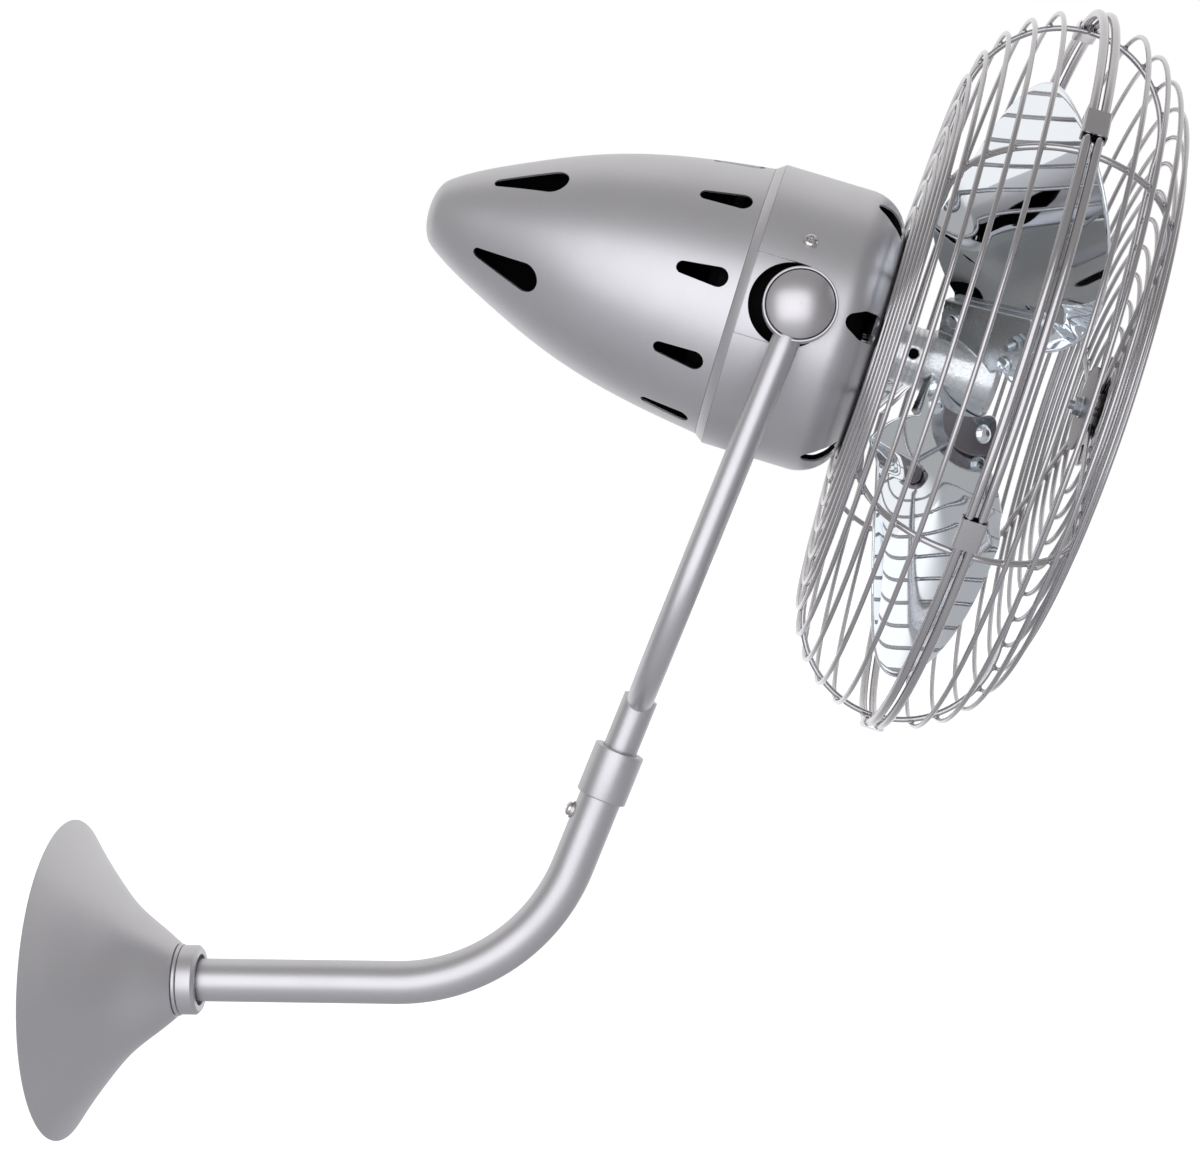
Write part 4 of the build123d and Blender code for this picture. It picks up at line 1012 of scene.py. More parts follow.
# ---------------------------------------------------------------- yoke
@dataclass
class Yoke(SubAssembly):
    """U-shaped rod on its stem, and the ears and caps that hold the head."""

    body = "yoke"
    stem_r: float = 9.0
    stem_low: float = -300.0
    stem_wall: float = 2.9
    rod_r: float = 6.9
    half_width: float = 82.0
    bend_at: float = -127.0
    leg_in_ear: float = 1.6
    ear_r: float = 17.85
    ear_inner: float = 75.5
    ear_outer: float = 88.5
    ear_web: float = 3.0
    ear_ledge: float = 1.6
    cap_r: float = 16.4
    cap_top: float = 94.0
    cap_wall: float = 1.2
    cap_depth: float = 3.0
    stud_r: float = 4.0

    def build(self) -> None:
        """Makes every piece of the yoke."""
        self._stem()
        self._rod()
        ear, cap = self._ear(), self._cap()
        for side, cup, dome in (("far", ear, cap), ("near", ear.mirrored(), cap.mirrored())):
            self._make(f"yoke_ear_cup_{side}", cup, f"yoke_ear_{side}")
            self._make(f"ear_dome_{side}", dome, f"ear_cap_{side}", CAP_NICKEL)
        self.shop.dress(BARE_STEEL, "pivot_studs", "friction_washers")

    def _rod_gap(self, points: Array) -> Array:
        """Distance from the rod's surface near the bottom of the U."""
        from_axis = np.hypot(points[..., 1], points[..., 2] - self.bend_at) - self.half_width
        return np.hypot(points[..., 0], from_axis) - self.rod_r

    def _stem(self) -> None:
        """Tube whose top is cut to a saddle that the rod lies in."""
        top = self.bend_at - self.half_width
        sheet = TurnedSheet(np.array([(self.stem_r, self.stem_low), (self.stem_r, top)]), self.stem_wall)
        stem = sheet.build(in_runs((0.0, 70.0, top - self.stem_low), (7, 45)), 96, self._rod_gap)
        self._make("yoke_stem_saddle", stem.with_finish(0), "yoke_stem")

    def _rod(self) -> None:
        """Rod along both legs and the half circle that joins them below."""
        bend = arc((0.0, self.bend_at), self.half_width, 0.0, -180.0, 97)
        down = np.linspace((self.half_width, self.leg_in_ear - self.ear_r), bend[0], 20)[:-1]
        route = np.concatenate([down, bend, (down * (-1.0, 1.0))[::-1]])
        bar = round_bar(stack(0.0, route[:, 0], route[:, 1]), X, self.rod_r, 48)
        self._make("yoke_bent_rod", bar, "yoke_rod")

    @staticmethod
    def _across(part: Surface) -> Surface:
        """Lays a part turned about z down along y."""
        return part.placed((0.0, 0.0, 0.0), X, -Z, Y)

    def _ear(self) -> Surface:
        """Cup with a web at its inner face and a ledge for the cap."""
        lip, bore, ledge_r = self.cap_r + LOOSE, self.stud_r + SNUG, self.cap_r - self.ear_ledge
        ledge, web = self.ear_outer - self.cap_depth, self.ear_inner + self.ear_web
        profile = [
            (bore, self.ear_inner),
            (self.ear_r, self.ear_inner),
            (self.ear_r, self.ear_outer),
            (lip, self.ear_outer),
            (lip, ledge),
            (ledge_r, ledge),
            (ledge_r, web),
            (bore, web),
        ]
        return self._across(turned_part(profile, 0.55))

    def _cap(self) -> Surface:
        """Pressed dome: a sphere's cap with a rounded edge that drops into the cup."""
        seat, edge = self.ear_outer - self.cap_depth + SNUG, self.ear_outer + LOOSE
        r = self.cap_r - LOOSE - SNUG
        outer = dome_arc(r, self.cap_top - edge, self.cap_top, 28)
        inner = dome_arc(r, self.cap_top - edge, self.cap_top, 28, self.cap_wall, 0.96)
        profile = np.concatenate([[(r - self.cap_wall, seat), (r, seat)], outer, inner[::-1]])
        return self._across(turned_part(profile, 0.7))


# ---------------------------------------------------------------- motor housing
@dataclass
class Housing(SubAssembly):
    """Bullet-shaped rear shell, seam band and front shell, lacquered outside and near black inside as
    painted shade.
    """

    usual = (SATIN_NICKEL, BLACK_ENAMEL_AND_SHADE)
    tail_end: float = -195.9
    tip_r: float = 36.0
    tip_angle: float = -72.2
    tail_corner: Pair = (15.9, -191.6)
    flank: Knots = ((19.4, -187.4), (35.2, -158.0), (51.3, -120.0), (62.3, -80.4), (69.9, -31.4))
    wall: float = 1.0
    radius: float = 73.4
    face: float = 41.2
    shoulder_r: float = 22.7
    lip: float = -26.6
    lip_r: float = 70.0
    lip_t: float = 1.1
    seam: float = -31.4
    band_r: float = 72.3
    band_wall: float = 1.2
    band_front: float = 20.0
    notch_r: float = 20.4
    notch_at: float = -4.3
    screw: Screw = Screw(3.5, 2.1, 1.1, 1.95, 9.5)
    screw_phi: float = 64.0
    screw_at: float = -4.1
    screw_hole_r: float = 2.05
    shaft_hole_r: float = 17.5
    front_slots: int = 10
    front_slot_phi: float = 15.5
    front_slot: Floats = (-62.4, -36.4, 3.1, 4.9)
    tail_slot: Floats = (-164.0, -127.0, 2.6, 7.4)
    tail_slot_phi: Floats = (52.3, 119.1, 192.4, 265.7, 339.0)
    # Stations between which the slots lie, where the grid is finer, and each stretch's rows.
    slot_bands: Floats = (-170.0, -124.0, -66.0, -33.0)
    rear_rows: tuple[int, ...] = (20, 51, 24, 34, 2)
    # Length of the front shell's straight side, and its rows on the side, shoulder and face.
    side_length: float = 45.0
    front_rows: tuple[int, ...] = (40, 39, 11)
    vent_phi: Floats = (32.0, 89.4, 156.0, 212.0, 269.4, 336.0)
    vent_turn: float = 38.4
    vent_depth: float = 12.0
    vent_point: Floats = (-6.0, 0.0, 4.5)
    vent_waist: Floats = (-0.2, 2.2, 5.0)
    vent_lobe: Floats = (6.8, 3.6, 3.6)

    def build(self) -> None:
        """Makes the three shells and the screws, and dresses what lies inside."""
        self._rear_shell()
        self._band()
        self._front_shell()
        self._screws()
        # The parts inside the housing are dressed near black as painted shade.
        self.shop.dress(BLACK_ENAMEL_AND_SHADE, "motor_frame", "motor_rear_bell", "run_capacitor")
        self.shop.dress(BLACK_ENAMEL_AND_SHADE, "capacitor_bracket", "housing_tabs", "motor_tie_bolts")
        self.shop.dress(GROUND_STEEL, "motor_bearings")
        self.shop.dress(LAMINATIONS, "stator_core")
        self.shop.dress(COPPER_WIRE, "stator_windings")
        self.shop.dress(SINTERED_BRONZE, "pivot_bushes")

    def screw_angles(self) -> list[float]:
        """Angles of the four housing screws."""
        return [self.screw_phi, 180 - self.screw_phi, 180 + self.screw_phi, 360 - self.screw_phi]

    def _gap_at(self, points: Array, phi: float, shape: Distance) -> Array:
        """Distance from the edge of an opening at an angle, which is drawn as if it were at x = r.

        Args:
            points: the places.
            phi: the opening's angle in degrees.
            shape: distance from its edge, of places turned back by that angle.

        Returns:
            The distances, and the housing's radius on the far side of the axis.
        """
        local = about_z(points, -phi)
        return np.where(local[..., 0] > 0, shape(local), self.radius)

    def _rear_gap(self, points: Array) -> Array:
        """Distance from the edge of the nearest slot of either row in the rear shell."""
        turns = [self.front_slot_phi + 360.0 * i / self.front_slots for i in range(self.front_slots)]
        gaps = [
            self._gap_at(points, phi, lambda p: teardrop_gap(p[..., 2], p[..., 1], *sizes))
            for row, sizes in ((turns, self.front_slot), (self.tail_slot_phi, self.tail_slot))
            for phi in row
        ]
        return nearest(*gaps)

    def _rear_shell(self) -> None:
        """Rounded tail, a small turn, and a long swelling flank to the seam."""
        tip = arc((0.0, self.tail_end + self.tip_r), self.tip_r, -90.0, self.tip_angle, 3)
        profile = smooth_curve([*tip, self.tail_corner, *self.flank], 900)
        sheet = TurnedSheet(profile, self.wall)
        bands = np.interp(self.slot_bands, profile[:, 1], sheet.length)
        rows = in_runs((0.0, *bands, sheet.length[-1]), self.rear_rows)
        self._make("tail_shell", sheet.build(rows, 360, self._rear_gap), "rear_housing")

    def _opening_gap(self, points: Array, to_seam: bool) -> Array:
        """Distance from the round opening at each pivot, open to the seam as a U if asked."""
        x, s = points[..., 0], points[..., 2] - self.notch_at
        ring = np.hypot(x, s) - self.notch_r
        gap = np.where(s < 0, np.abs(x) - self.notch_r, ring) if to_seam else ring
        return np.where(np.abs(points[..., 1]) > self.notch_r, gap, self.radius)

    def _screw_gap(self, points: Array) -> Array:
        """Distance from the nearest housing screw's hole."""

        def hole(local: Array) -> Array:
            """Distance from a round hole's edge."""
            return np.hypot(local[..., 1], local[..., 2] - self.screw_at) - self.screw_hole_r

        return nearest(*[self._gap_at(points, phi, hole) for phi in self.screw_angles()])

    def _band(self) -> None:
        """Inner sleeve with a conical lip that fills the seam between the shells."""
        low = self.seam + LOOSE
        lip = [
            (self.lip_r - self.lip_t, low),
            (self.lip_r, low),
            (self.radius, self.lip),
            (self.band_r, self.lip),
            (self.band_r - self.band_wall, self.lip - 1.0),
        ]
        outline = np.array([(self.band_r, self.lip - 0.6), (self.band_r, self.band_front)])
        sheet = TurnedSheet(outline, self.band_wall)
        sleeve = sheet.build(
            np.linspace(0.0, sheet.length[-1], 48),
            400,
            lambda p: nearest(self._opening_gap(p, False), self._screw_gap(p)),
        )
        self._make("seam_band", join([turned_part(lip, 0.12, 256), sleeve]), "housing_band")

    def _vent_gap(self, points: Array) -> Array:
        """Distance from the heart-shaped vents, whose point is at the rear, cut square to the shoulder."""
        lean = math.radians(self.vent_turn)
        out = np.array([math.cos(lean), 0.0, math.sin(lean)])
        forwards = np.array([-math.sin(lean), 0.0, math.cos(lean)])
        centre = np.array([self.radius - self.shoulder_r, 0.0, self.face - self.shoulder_r])
        centre = centre + out * self.shoulder_r
        gaps = []
        for phi in self.vent_phi:
            local = about_z(points, -phi) - centre
            x, y = local @ forwards, local[..., 1]
            halves = []
            for hand in (1.0, -1.0):
                waist, lobe = ((x0, hand * y0, r) for x0, y0, r in (self.vent_waist, self.vent_lobe))
                halves += [round_two_gap(x, y, self.vent_point, waist), round_two_gap(x, y, waist, lobe)]
            gaps.append(np.where(local @ out > -self.vent_depth, nearest(*halves), self.radius))
        return nearest(*gaps)

    def _front_shell(self) -> None:
        """Straight sleeve, a round shoulder and a flat face with the shaft's hole."""
        centre = (self.radius - self.shoulder_r, self.face - self.shoulder_r)
        straight = [(self.radius, self.lip + 0.05), (self.radius, -3.0)]
        face = [(self.shaft_hole_r + 8.0, self.face), (self.shaft_hole_r, self.face)]
        profile = np.concatenate([straight, arc(centre, self.shoulder_r, 0.0, 90.0, 60), face])
        sheet = TurnedSheet(profile, self.wall)
        # The side and the face stay straight to where the shoulder begins.
        sheet.outward[:3] = (1.0, 0.0)
        sheet.outward[-3:] = (0.0, 1.0)
        shoulder_end = self.side_length + self.shoulder_r * math.pi / 2
        shell = sheet.build(
            in_runs((0.0, self.side_length, shoulder_end, sheet.length[-1]), self.front_rows),
            400,
            lambda p: nearest(self._opening_gap(p, True), self._vent_gap(p), self._screw_gap(p)),
        )
        self._make("front_shell", shell, "front_housing")

    def _screws(self) -> None:
        """Four cross-recess screws through the front shell."""
        screw = self.screw.build()
        screws = [radial_place(screw, phi, self.radius, self.screw_at) for phi in self.screw_angles()]
        self._make("housing_pan_screws", join(screws), "housing_screws", NICKEL_PLATE)


# ---------------------------------------------------------------- cage
class Half(Enum):
    """The two halves of the cage, by the sign of their distance from the middle plane."""

    REAR = -1.0
    FRONT = 1.0


@dataclass
class Cage(SubAssembly):
    """Two wire half cages, joined at a pair of rims, with a badge disc at the front."""

    usual = (CAGE_WIRE,)
    middle: float = 98.6
    rib_r: float = 1.5
    ring_r: float = 1.25
    rim_wire_r: float = 2.15
    rim_half_gap: float = 2.65
    arc_centre_r: float = 130.0
    arc_r: float = 51.05
    slope: float = 3.8  # degrees by which each face rises towards its middle
    pitch: float = 13.9
    first_ring_r: dict[Half, float] = field(default_factory=lambda: {Half.REAR: 71.0, Half.FRONT: 43.2})
    face_rings: dict[Half, int] = field(default_factory=lambda: {Half.REAR: 5, Half.FRONT: 7})
    rib_start_r: dict[Half, float] = field(default_factory=lambda: {Half.REAR: 50.0, Half.FRONT: 18.0})
    rib_level_r: float = 76.0
    rib_level_bend: float = 260.0
    shoulder_first: float = 10.3
    shoulder_step: float = 14.4
    shoulder_rings: int = 5
    ribs: int = 6
    weld: float = 0.1  # how deep a ring is pressed into a rib
    weld_half: Floats = (2.0, 1.9, 1.0)
    weld_sink: float = 0.46
    clip_phi: float = -4.0
    clip_half: Pair = (3.2, 5.8)
    clip_wall: float = 0.75
    clip_length: float = 14.0
    clip_corner: float = 1.3
    badge_r: float = 29.0
    badge_edge: float = 1.6
    badge_crown: float = 3.6
    clamp_r: float = 22.0
    clamp_t: float = 1.6
    clamp_gap: float = 0.9

    def build(self) -> None:
        """Makes both half cages and what joins and closes them."""
        for half in Half:
            self._half(half)
        self._clips()
        self._badge()
        self.shop.dress(BARE_STEEL, "cage_mount_ring")
        # The mount screws are near black partly as painted shade behind the openings.
        self.shop.dress(BLACK_OXIDE_AND_SHADE, "cage_mount_screws")
        self.shop.dress(ZINC_PLATE, "badge_bolt", "badge_nut")

    @property
    def ring_arc_r(self) -> float:
        """Radius of the arc that the shoulder rings' centres lie on."""
        return self.arc_r + self.rib_r + self.ring_r - self.weld

    @property
    def rim_r(self) -> float:
        """Radius of the rims' centreline."""
        return self.arc_centre_r + self.arc_r + self.rib_r + self.rim_wire_r - self.weld

    def _arc_point(self, radius: float, angle: float) -> Pair:
        """Radius and distance from the middle plane of a point on the shoulder's arc."""
        turn = math.radians(angle)
        return self.arc_centre_r + radius * math.sin(turn), radius * math.cos(turn)

    def _face_distance(self, radius: float, arc_r: float) -> float:
        """Distance of the sloping face from the middle plane, at a radius inside the shoulder."""
        edge_r, edge_s = self._arc_point(arc_r, -self.slope)
        return edge_s + (edge_r - radius) * math.tan(math.radians(self.slope))

    def _ring_places(self, half: Half) -> tuple[list[Pair], list[Pair]]:
        """Radius and distance from the middle plane of the face rings and the shoulder rings."""
        radii = [self.first_ring_r[half] + self.pitch * i for i in range(self.face_rings[half])]
        face = [(r, self._face_distance(r, self.ring_arc_r)) for r in radii]
        angles = [self.shoulder_first + self.shoulder_step * i for i in range(self.shoulder_rings)]
        return face, [self._arc_point(self.ring_arc_r, angle) for angle in angles]

    def _rib_route(self, half: Half) -> Array:
        """A rib's centreline as radius and distance from the middle plane, from inside outwards."""
        shoulder = arc((self.arc_centre_r, 0.0), self.arc_r, 90.0 + self.slope, 1.0, 44)
        start_r = self.rib_start_r[half]
        if half is Half.FRONT:
            inside = (start_r, self._face_distance(start_r, self.arc_r))
            return np.concatenate([np.linspace(inside, shoulder[0], 24)[:-1], shoulder])
        level = self._face_distance(self.rib_level_r, self.arc_r)
        corners = [(start_r, level), (self.rib_level_r, level), shoulder[0]]
        return np.concatenate([soften(corners, self.rib_level_bend, False), shoulder])

    def _half(self, half: Half) -> None:
        """Rings, ribs, their welds and the rim of one half."""
        word = half.name.lower()
        for where, places in zip(("face", "shoulder"), self._ring_places(half)):
            rings = [wire_ring(r, self.middle + half.value * d, self.ring_r, 200) for r, d in places]
            beads = self._welds(half, places, self.ring_arc_r - self.arc_r)
            self._make(f"{word}_{where}_ring_wires", join(rings + beads), f"{word}_cage_{where}_rings")
        rim = wire_ring(self.rim_r, self.middle + half.value * self.rim_half_gap, self.rim_wire_r, 256, 16)
        self._make(f"{word}_rim_wire", rim, f"{word}_cage_rim")
        route = self._rib_route(half)
        rib = round_bar(stack(route[:, 0], 0.0, self.middle + half.value * route[:, 1]), Y, self.rib_r, 14)
        self._make(f"{word}_rib_wires", join(round_axis(rib, self.ribs)), f"{word}_cage_ribs")

    def _welds(self, half: Half, places: Sequence[Pair], height: float) -> list[Surface]:
        """A small flattened bead where each ring is welded on each rib."""
        beads = []
        lean = math.radians(self.slope)
        for radius, distance in places:
            outward = unit(np.array([max(radius - self.arc_centre_r, 0.0), 0.0, max(distance, 1e-3)]))
            if radius < self.arc_centre_r:
                outward = np.array([math.sin(lean), 0.0, math.cos(lean)])
            outward = outward * np.array([1.0, 1.0, half.value])
            centre = np.array([radius, 0.0, self.middle + half.value * distance])
            axes = np.stack([Y, np.cross(outward, Y), outward])
            spot = bead(centre - outward * height * self.weld_sink, axes, self.weld_half)
            beads += round_axis(spot, self.ribs)
        return beads

    def _clips(self) -> None:
        """Folded sheet sleeves round both rims: a rounded box carried along a short arc of the rim."""
        high, wide = self.clip_half
        box = [(-high, -wide), (high, -wide), (high, wide), (-high, wide)]
        outer = soften(box, self.clip_corner)
        inner = outer * ((high - self.clip_wall) / high, (wide - self.clip_wall) / wide)
        angles = (np.linspace(-0.5, 0.5, 9) * self.clip_length / self.rim_r)[:, None]
        loops = []
        for loop, turns in ((outer, angles), (inner, angles[::-1])):
            radial, axial = self.rim_r + loop[:, 0], self.middle + loop[:, 1]
            loops.append(around(radial, turns, axial))
        sleeve = grid(np.concatenate(loops), True, True)
        self._make("rim_clip_sleeves", join(round_axis(sleeve, self.ribs, self.clip_phi)), "cage_rim_clips")

    def _badge(self) -> None:
        """Bare badge disc with a low dome, and the plain clamp disc behind the ribs."""
        back = self.middle + self._face_distance(self.rib_start_r[Half.FRONT], self.arc_r) + self.rib_r
        dome = dome_arc(self.badge_r, self.badge_crown - self.badge_edge, back + self.badge_crown, 24)
        profile = np.concatenate([[(0.0, back), (self.badge_r, back)], dome])
        self._make("badge_disc", turned_part(profile, 0.6, closed=False), "cage_badge")
        high = back - 2 * self.rib_r - self.clamp_gap
        plate = peg(high - self.clamp_t, high, self.clamp_r, 0.4, 96)
        # The clamp plate's dark finish is painted shade from the badge in front of it.
        self._make("clamp_plate", plate, "badge_clamp_disc", SHADED_DARK_LACQUER)


# ---------------------------------------------------------------- rotor
@dataclass
class Rotor(SubAssembly):
    """Cast hub with its pads, three chromed blades, and what fastens them."""

    body = "rotor"
    usual = (MIRROR_CHROME,)
    blades: int = 3
    first_phi: float = 44.0
    station: float = 93.25
    centre_u: float = 96.3
    half_length: float = 65.5
    half_chord: float = 57.0
    squareness: float = 2.3
    chord_shift: float = -1.8
    tab_centre: Pair = (33.0, 1.5)
    tab_half: Pair = (20.0, 26.0)
    tab_corner: float = 5.0
    heart_u: float = 80.0
    farthest: float = 120.0
    thickness: float = 1.5
    camber: float = 0.004  # one over the radius across the chord
    pitch_table: Knots = ((0, 54.0), (58.0, 54.0), (74.0, 45.4), (98.0, 38.4), (132.0, 31.0), (168.0, 24.0))
    flat_end: float = 58.0
    pad_t: float = 5.0
    sleeve_end: float = 67.5
    barrel: Knots = ((51.7, 15.3), (67.0, 15.3), (71.0, 16.5), (104.0, 19.8), (107.3, 18.3))
    rivets: Knots = ((25.0, -16.5), (25.0, 19.5))
    rivet_r: float = 4.9
    rivet_edge: float = 0.4
    rivet_rise: float = 2.6
    rivet_tail: Pair = (4.0, 1.6)
    rivet_shank_r: float = 2.5
    bolt: Screw = Screw(3.9, 2.8, 1.2, 1.9, 9.0)
    bolt_place: Pair = (41.0, 21.5)
    thread_depth: float = 0.28
    thread_pitch: float = 0.7
    nut_half: float = 3.5
    nut_edge: float = 0.86
    casting_voxel: float = 0.55

    def build(self) -> None:
        """Makes the blades, the hub and the fasteners."""
        for i, blade in enumerate(round_axis(self._blade(), self.blades, self.first_phi), 1):
            self._make(f"chromed_blade_{i}", blade, f"blade_{i}")
        self._hub()
        self._rivets()
        self._bolts()
        self.shop.dress(BLACK_ENAMEL_AND_SHADE, "hub_grub_screw")
        self.shop.dress(GROUND_STEEL, "motor_shaft")
        self.shop.dress(LAMINATIONS, "rotor_core")

    def _pitch(self, u: Array) -> Array:
        """Blade pitch in radians at the distance u from the shaft, smooth through the table."""
        knots = np.array(self.pitch_table)
        fine = smooth_curve(knots[1:], 200)
        return np.radians(np.where(u < self.flat_end, knots[0, 1], np.interp(u, fine[:, 0], fine[:, 1])))

    def _sheet(self, u: Array, v: Array, lift: Array | float) -> Array:
        """Points of the blade: out u, along the pitched chord v, and lift plus camber forwards.

        With the pitch b, the chord points along (cos b, sin b) in y and z, and forwards is
        (-sin b, cos b).

        Args:
            u: distance out from the shaft.
            v: place along the chord.
            lift: height above the middle of the sheet.

        Returns:
            The points.
        """
        b = self._pitch(u)
        blend = np.clip((u - self.flat_end) / (self.pitch_table[2][0] - self.flat_end), 0.0, 1.0)
        rise = self.camber * (blend * blend * (3 - 2 * blend)) * v * v / 2 + lift
        y = v * np.cos(b) - rise * np.sin(b)
        z = v * np.sin(b) + rise * np.cos(b)
        return stack(u, y, self.station + z)

    def _inside(self, u: Array, v: Array) -> Array:
        """Whether a place lies on the blade: in the broad oval or the root tab, and off the barrel."""
        p = self.squareness
        oval = (np.abs(u - self.centre_u) / self.half_length) ** p
        oval = oval + (np.abs(v - self.chord_shift) / self.half_chord) ** p < 1.0
        (tab_u, tab_v), (half_u, half_v), corner = self.tab_centre, self.tab_half, self.tab_corner
        du = np.maximum(np.abs(u - tab_u) - (half_u - corner), 0.0)
        dv = np.maximum(np.abs(v - tab_v) - (half_v - corner), 0.0)
        tab = np.hypot(du, dv) < corner
        place = self._sheet(u, v, 0.0)
        barrel = np.array(self.barrel)
        free = np.hypot(place[..., 0], place[..., 1]) > np.interp(place[..., 2], barrel[:, 0], barrel[:, 1])
        return (oval | tab) & free

    def _blade(self) -> Surface:
        """The sheet as rings about heart_u, a place on it that sees its whole outline.

        The outline is sought along each ray, in steps as far as farthest and then by halving. It is
        eased by a weighted mean of its neighbours, so that its inward corners are round.
        """
        c, s = np.cos(steps_round(360)), np.sin(steps_round(360))
        steps = np.linspace(1.0, self.farthest, 480)[:, None]
        hit = self._inside(self.heart_u + steps * c, steps * s)
        reach = np.where(hit.all(0), self.farthest, steps[np.argmin(hit, axis=0), 0])
        low, high = reach - 0.5, reach
        for _ in range(24):
            half = (low + high) / 2
            hit_half = self._inside(self.heart_u + half * c, half * s)
            low, high = np.where(hit_half, half, low), np.where(hit_half, high, half)
        weights = np.array([1.0, 2.0, 3.0, 2.0, 1.0])
        reach = sum(w * np.roll(low, k - 2) for k, w in enumerate(weights)) / weights.sum()
        edge = self.thickness / 2
        swell = np.radians(np.linspace(0.0, 180.0, 9))[:, None]
        front = (np.linspace(0.0, 1.0, 36) ** 0.8)[:-1, None] * (reach - edge)
        radii = np.concatenate([front, (reach - edge) + edge * np.sin(swell), front[::-1]])
        flat = np.full((len(front), 1), edge)
        lift = np.concatenate([flat, edge * np.cos(swell), -flat])
        return grid(self._sheet(self.heart_u + radii * c, radii * s, lift))

    def _pad_axes(self, phi: float) -> tuple[Array, Array, Array]:
        """Directions out along a pad, along its chord and forwards from it."""
        b, a = math.radians(self.pitch_table[0][1]), math.radians(phi)
        out = np.array([math.cos(a), math.sin(a), 0.0])
        side = np.array([-math.sin(a), math.cos(a), 0.0])
        return out, side * math.cos(b) + Z * math.sin(b), Z * math.cos(b) - side * math.sin(b)

    def _on_pads(self, part: Surface, places: Sequence[Pair]) -> Surface:
        """Copies of a part drawn about z = 0 at the blade's middle, one at each place of each pad."""
        copies = []
        for i in range(self.blades):
            out, chord, forward = self._pad_axes(self.first_phi + 360.0 * i / self.blades)
            for u, v in places:
                copies.append(part.placed(self.station * Z + u * out + v * chord, out, chord, forward))
        return join(copies)

    @property
    def _grip(self) -> Pair:
        """Heights, from the blade's middle, of the blade's front and the pad's back, with clearance."""
        return self.thickness / 2 + SNUG / 2, -self.thickness / 2 - self.pad_t - LOOSE

    def _rivets(self) -> None:
        """Large domed rivets: a polished cap in front and a flat closed tail behind the pad."""
        front, back = self._grip
        dome = dome_arc(self.rivet_r, self.rivet_rise, front + self.rivet_edge + self.rivet_rise, 14)
        cap = turned_part(np.concatenate([[(0.0, front), (self.rivet_r, front)], dome]), 0.3, 48, False)
        tail_r, tail_t = self.rivet_tail
        tail = peg(back - tail_t, back, tail_r, 0.7, 40)
        rivet = join([cap, tail, peg(back, front, self.rivet_shank_r)])
        self._make("blade_dome_rivets", self._on_pads(rivet, self.rivets), "blade_rivets")

    def _bolts(self) -> None:
        """Small zinc bolts at the pads' outer corners, each with a hexagon nut behind.

        The thread's radius is a cosine of the station, and the nut is a turned outline whose
        radius follows the hexagon: half its width over the cosine of the angle from a flat.
        """
        front, back = self._grip
        head = self.bolt.head().placed(front * Z, X, Y, Z)
        ridge = np.linspace(back - self.bolt.length, front, 80)
        wave = 0.5 + 0.5 * np.cos(FULL_TURN * ridge / self.thread_pitch)
        thread = stack(self.bolt.shank_r - self.thread_depth * wave, ridge)
        shank = lathe(np.concatenate([[(0.0, ridge[0])], thread, [(0.0, front)]]), 24)
        turn, narrow = steps_round(48), self.nut_edge
        flat = self.nut_half / np.cos((turn + math.pi / 6) % (math.pi / 3) - math.pi / 6)
        rows = [(0.0, -3.2), (narrow, -3.2), (1.0, -2.7), (1.0, -0.5), (narrow, 0.0), (0.0, 0.0)]
        share, height = np.array(rows).T[:, :, None]
        nut = grid(around(share * flat, turn, back + height))
        bolts = self._on_pads(join([head, shank, nut]), [self.bolt_place])
        self._make("blade_corner_bolts", bolts, "blade_bolts", ZINC_PLATE)

    def _hub(self) -> None:
        """The casting: the construction node's solid remeshed finely, so that its corners turn soft."""
        mesh = self.shop.nodes["blade_hub"].data.copy()
        mesh.materials.clear()
        self.shop.close_up(mesh)
        blank = new_object("hub_casting_blank", mesh)
        remesh = blank.modifiers.new("fine_grid", "REMESH")
        remesh.mode, remesh.voxel_size = "VOXEL", self.casting_voxel * MM
        smooth = blank.modifiers.new("soft_corners", "SMOOTH")
        smooth.factor, smooth.iterations = 0.5, 5
        depsgraph = bpy.context.evaluated_depsgraph_get()
        casting = bpy.data.meshes.new_from_object(blank.evaluated_get(depsgraph))
        casting.name = "hub_casting"
        bpy.data.objects.remove(blank)
        self._mark_sleeve(casting)
        finishes = [CAST_ALUMINIUM, TURNED_ALUMINIUM]
        self.shop.finish_piece("hub_casting", casting, self.body, finishes, ["blade_hub"], 180.0)

    def _mark_sleeve(self, mesh: bpy.types.Mesh) -> None:
        """Gives the faces behind the sleeve's end the turned finish."""
        centres = np.zeros(len(mesh.polygons) * 3, np.float32)
        mesh.polygons.foreach_get("center", centres)
        along = (centres.reshape(-1, 3) - self.axes.origin) @ self.axes.z / MM
        mesh.polygons.foreach_set("material_index", (along < self.sleeve_end).astype(np.int32))


# ---------------------------------------------------------------- studio
@dataclass(frozen=True)
class Softbox:
    """A plain rectangular area lamp."""

    name: str
    place: tuple[float, float, float]
    target: tuple[float, float, float]
    size: Pair
    power: float
    colour: str = "#F9FBFF"

    def build(self) -> None:
        """Adds the lamp, facing its target."""
        lamp = bpy.data.lights.new(self.name, "AREA")
        lamp.shape, lamp.size, lamp.size_y = "RECTANGLE", self.size[0], self.size[1]
        lamp.energy, lamp.color = self.power, linear(self.colour)[:3]
        box = new_object(self.name, lamp)
        box.location = self.place
        heading = Vector(self.target) - Vector(self.place)
        box.rotation_euler = heading.to_track_quat("-Z", "Y").to_euler()


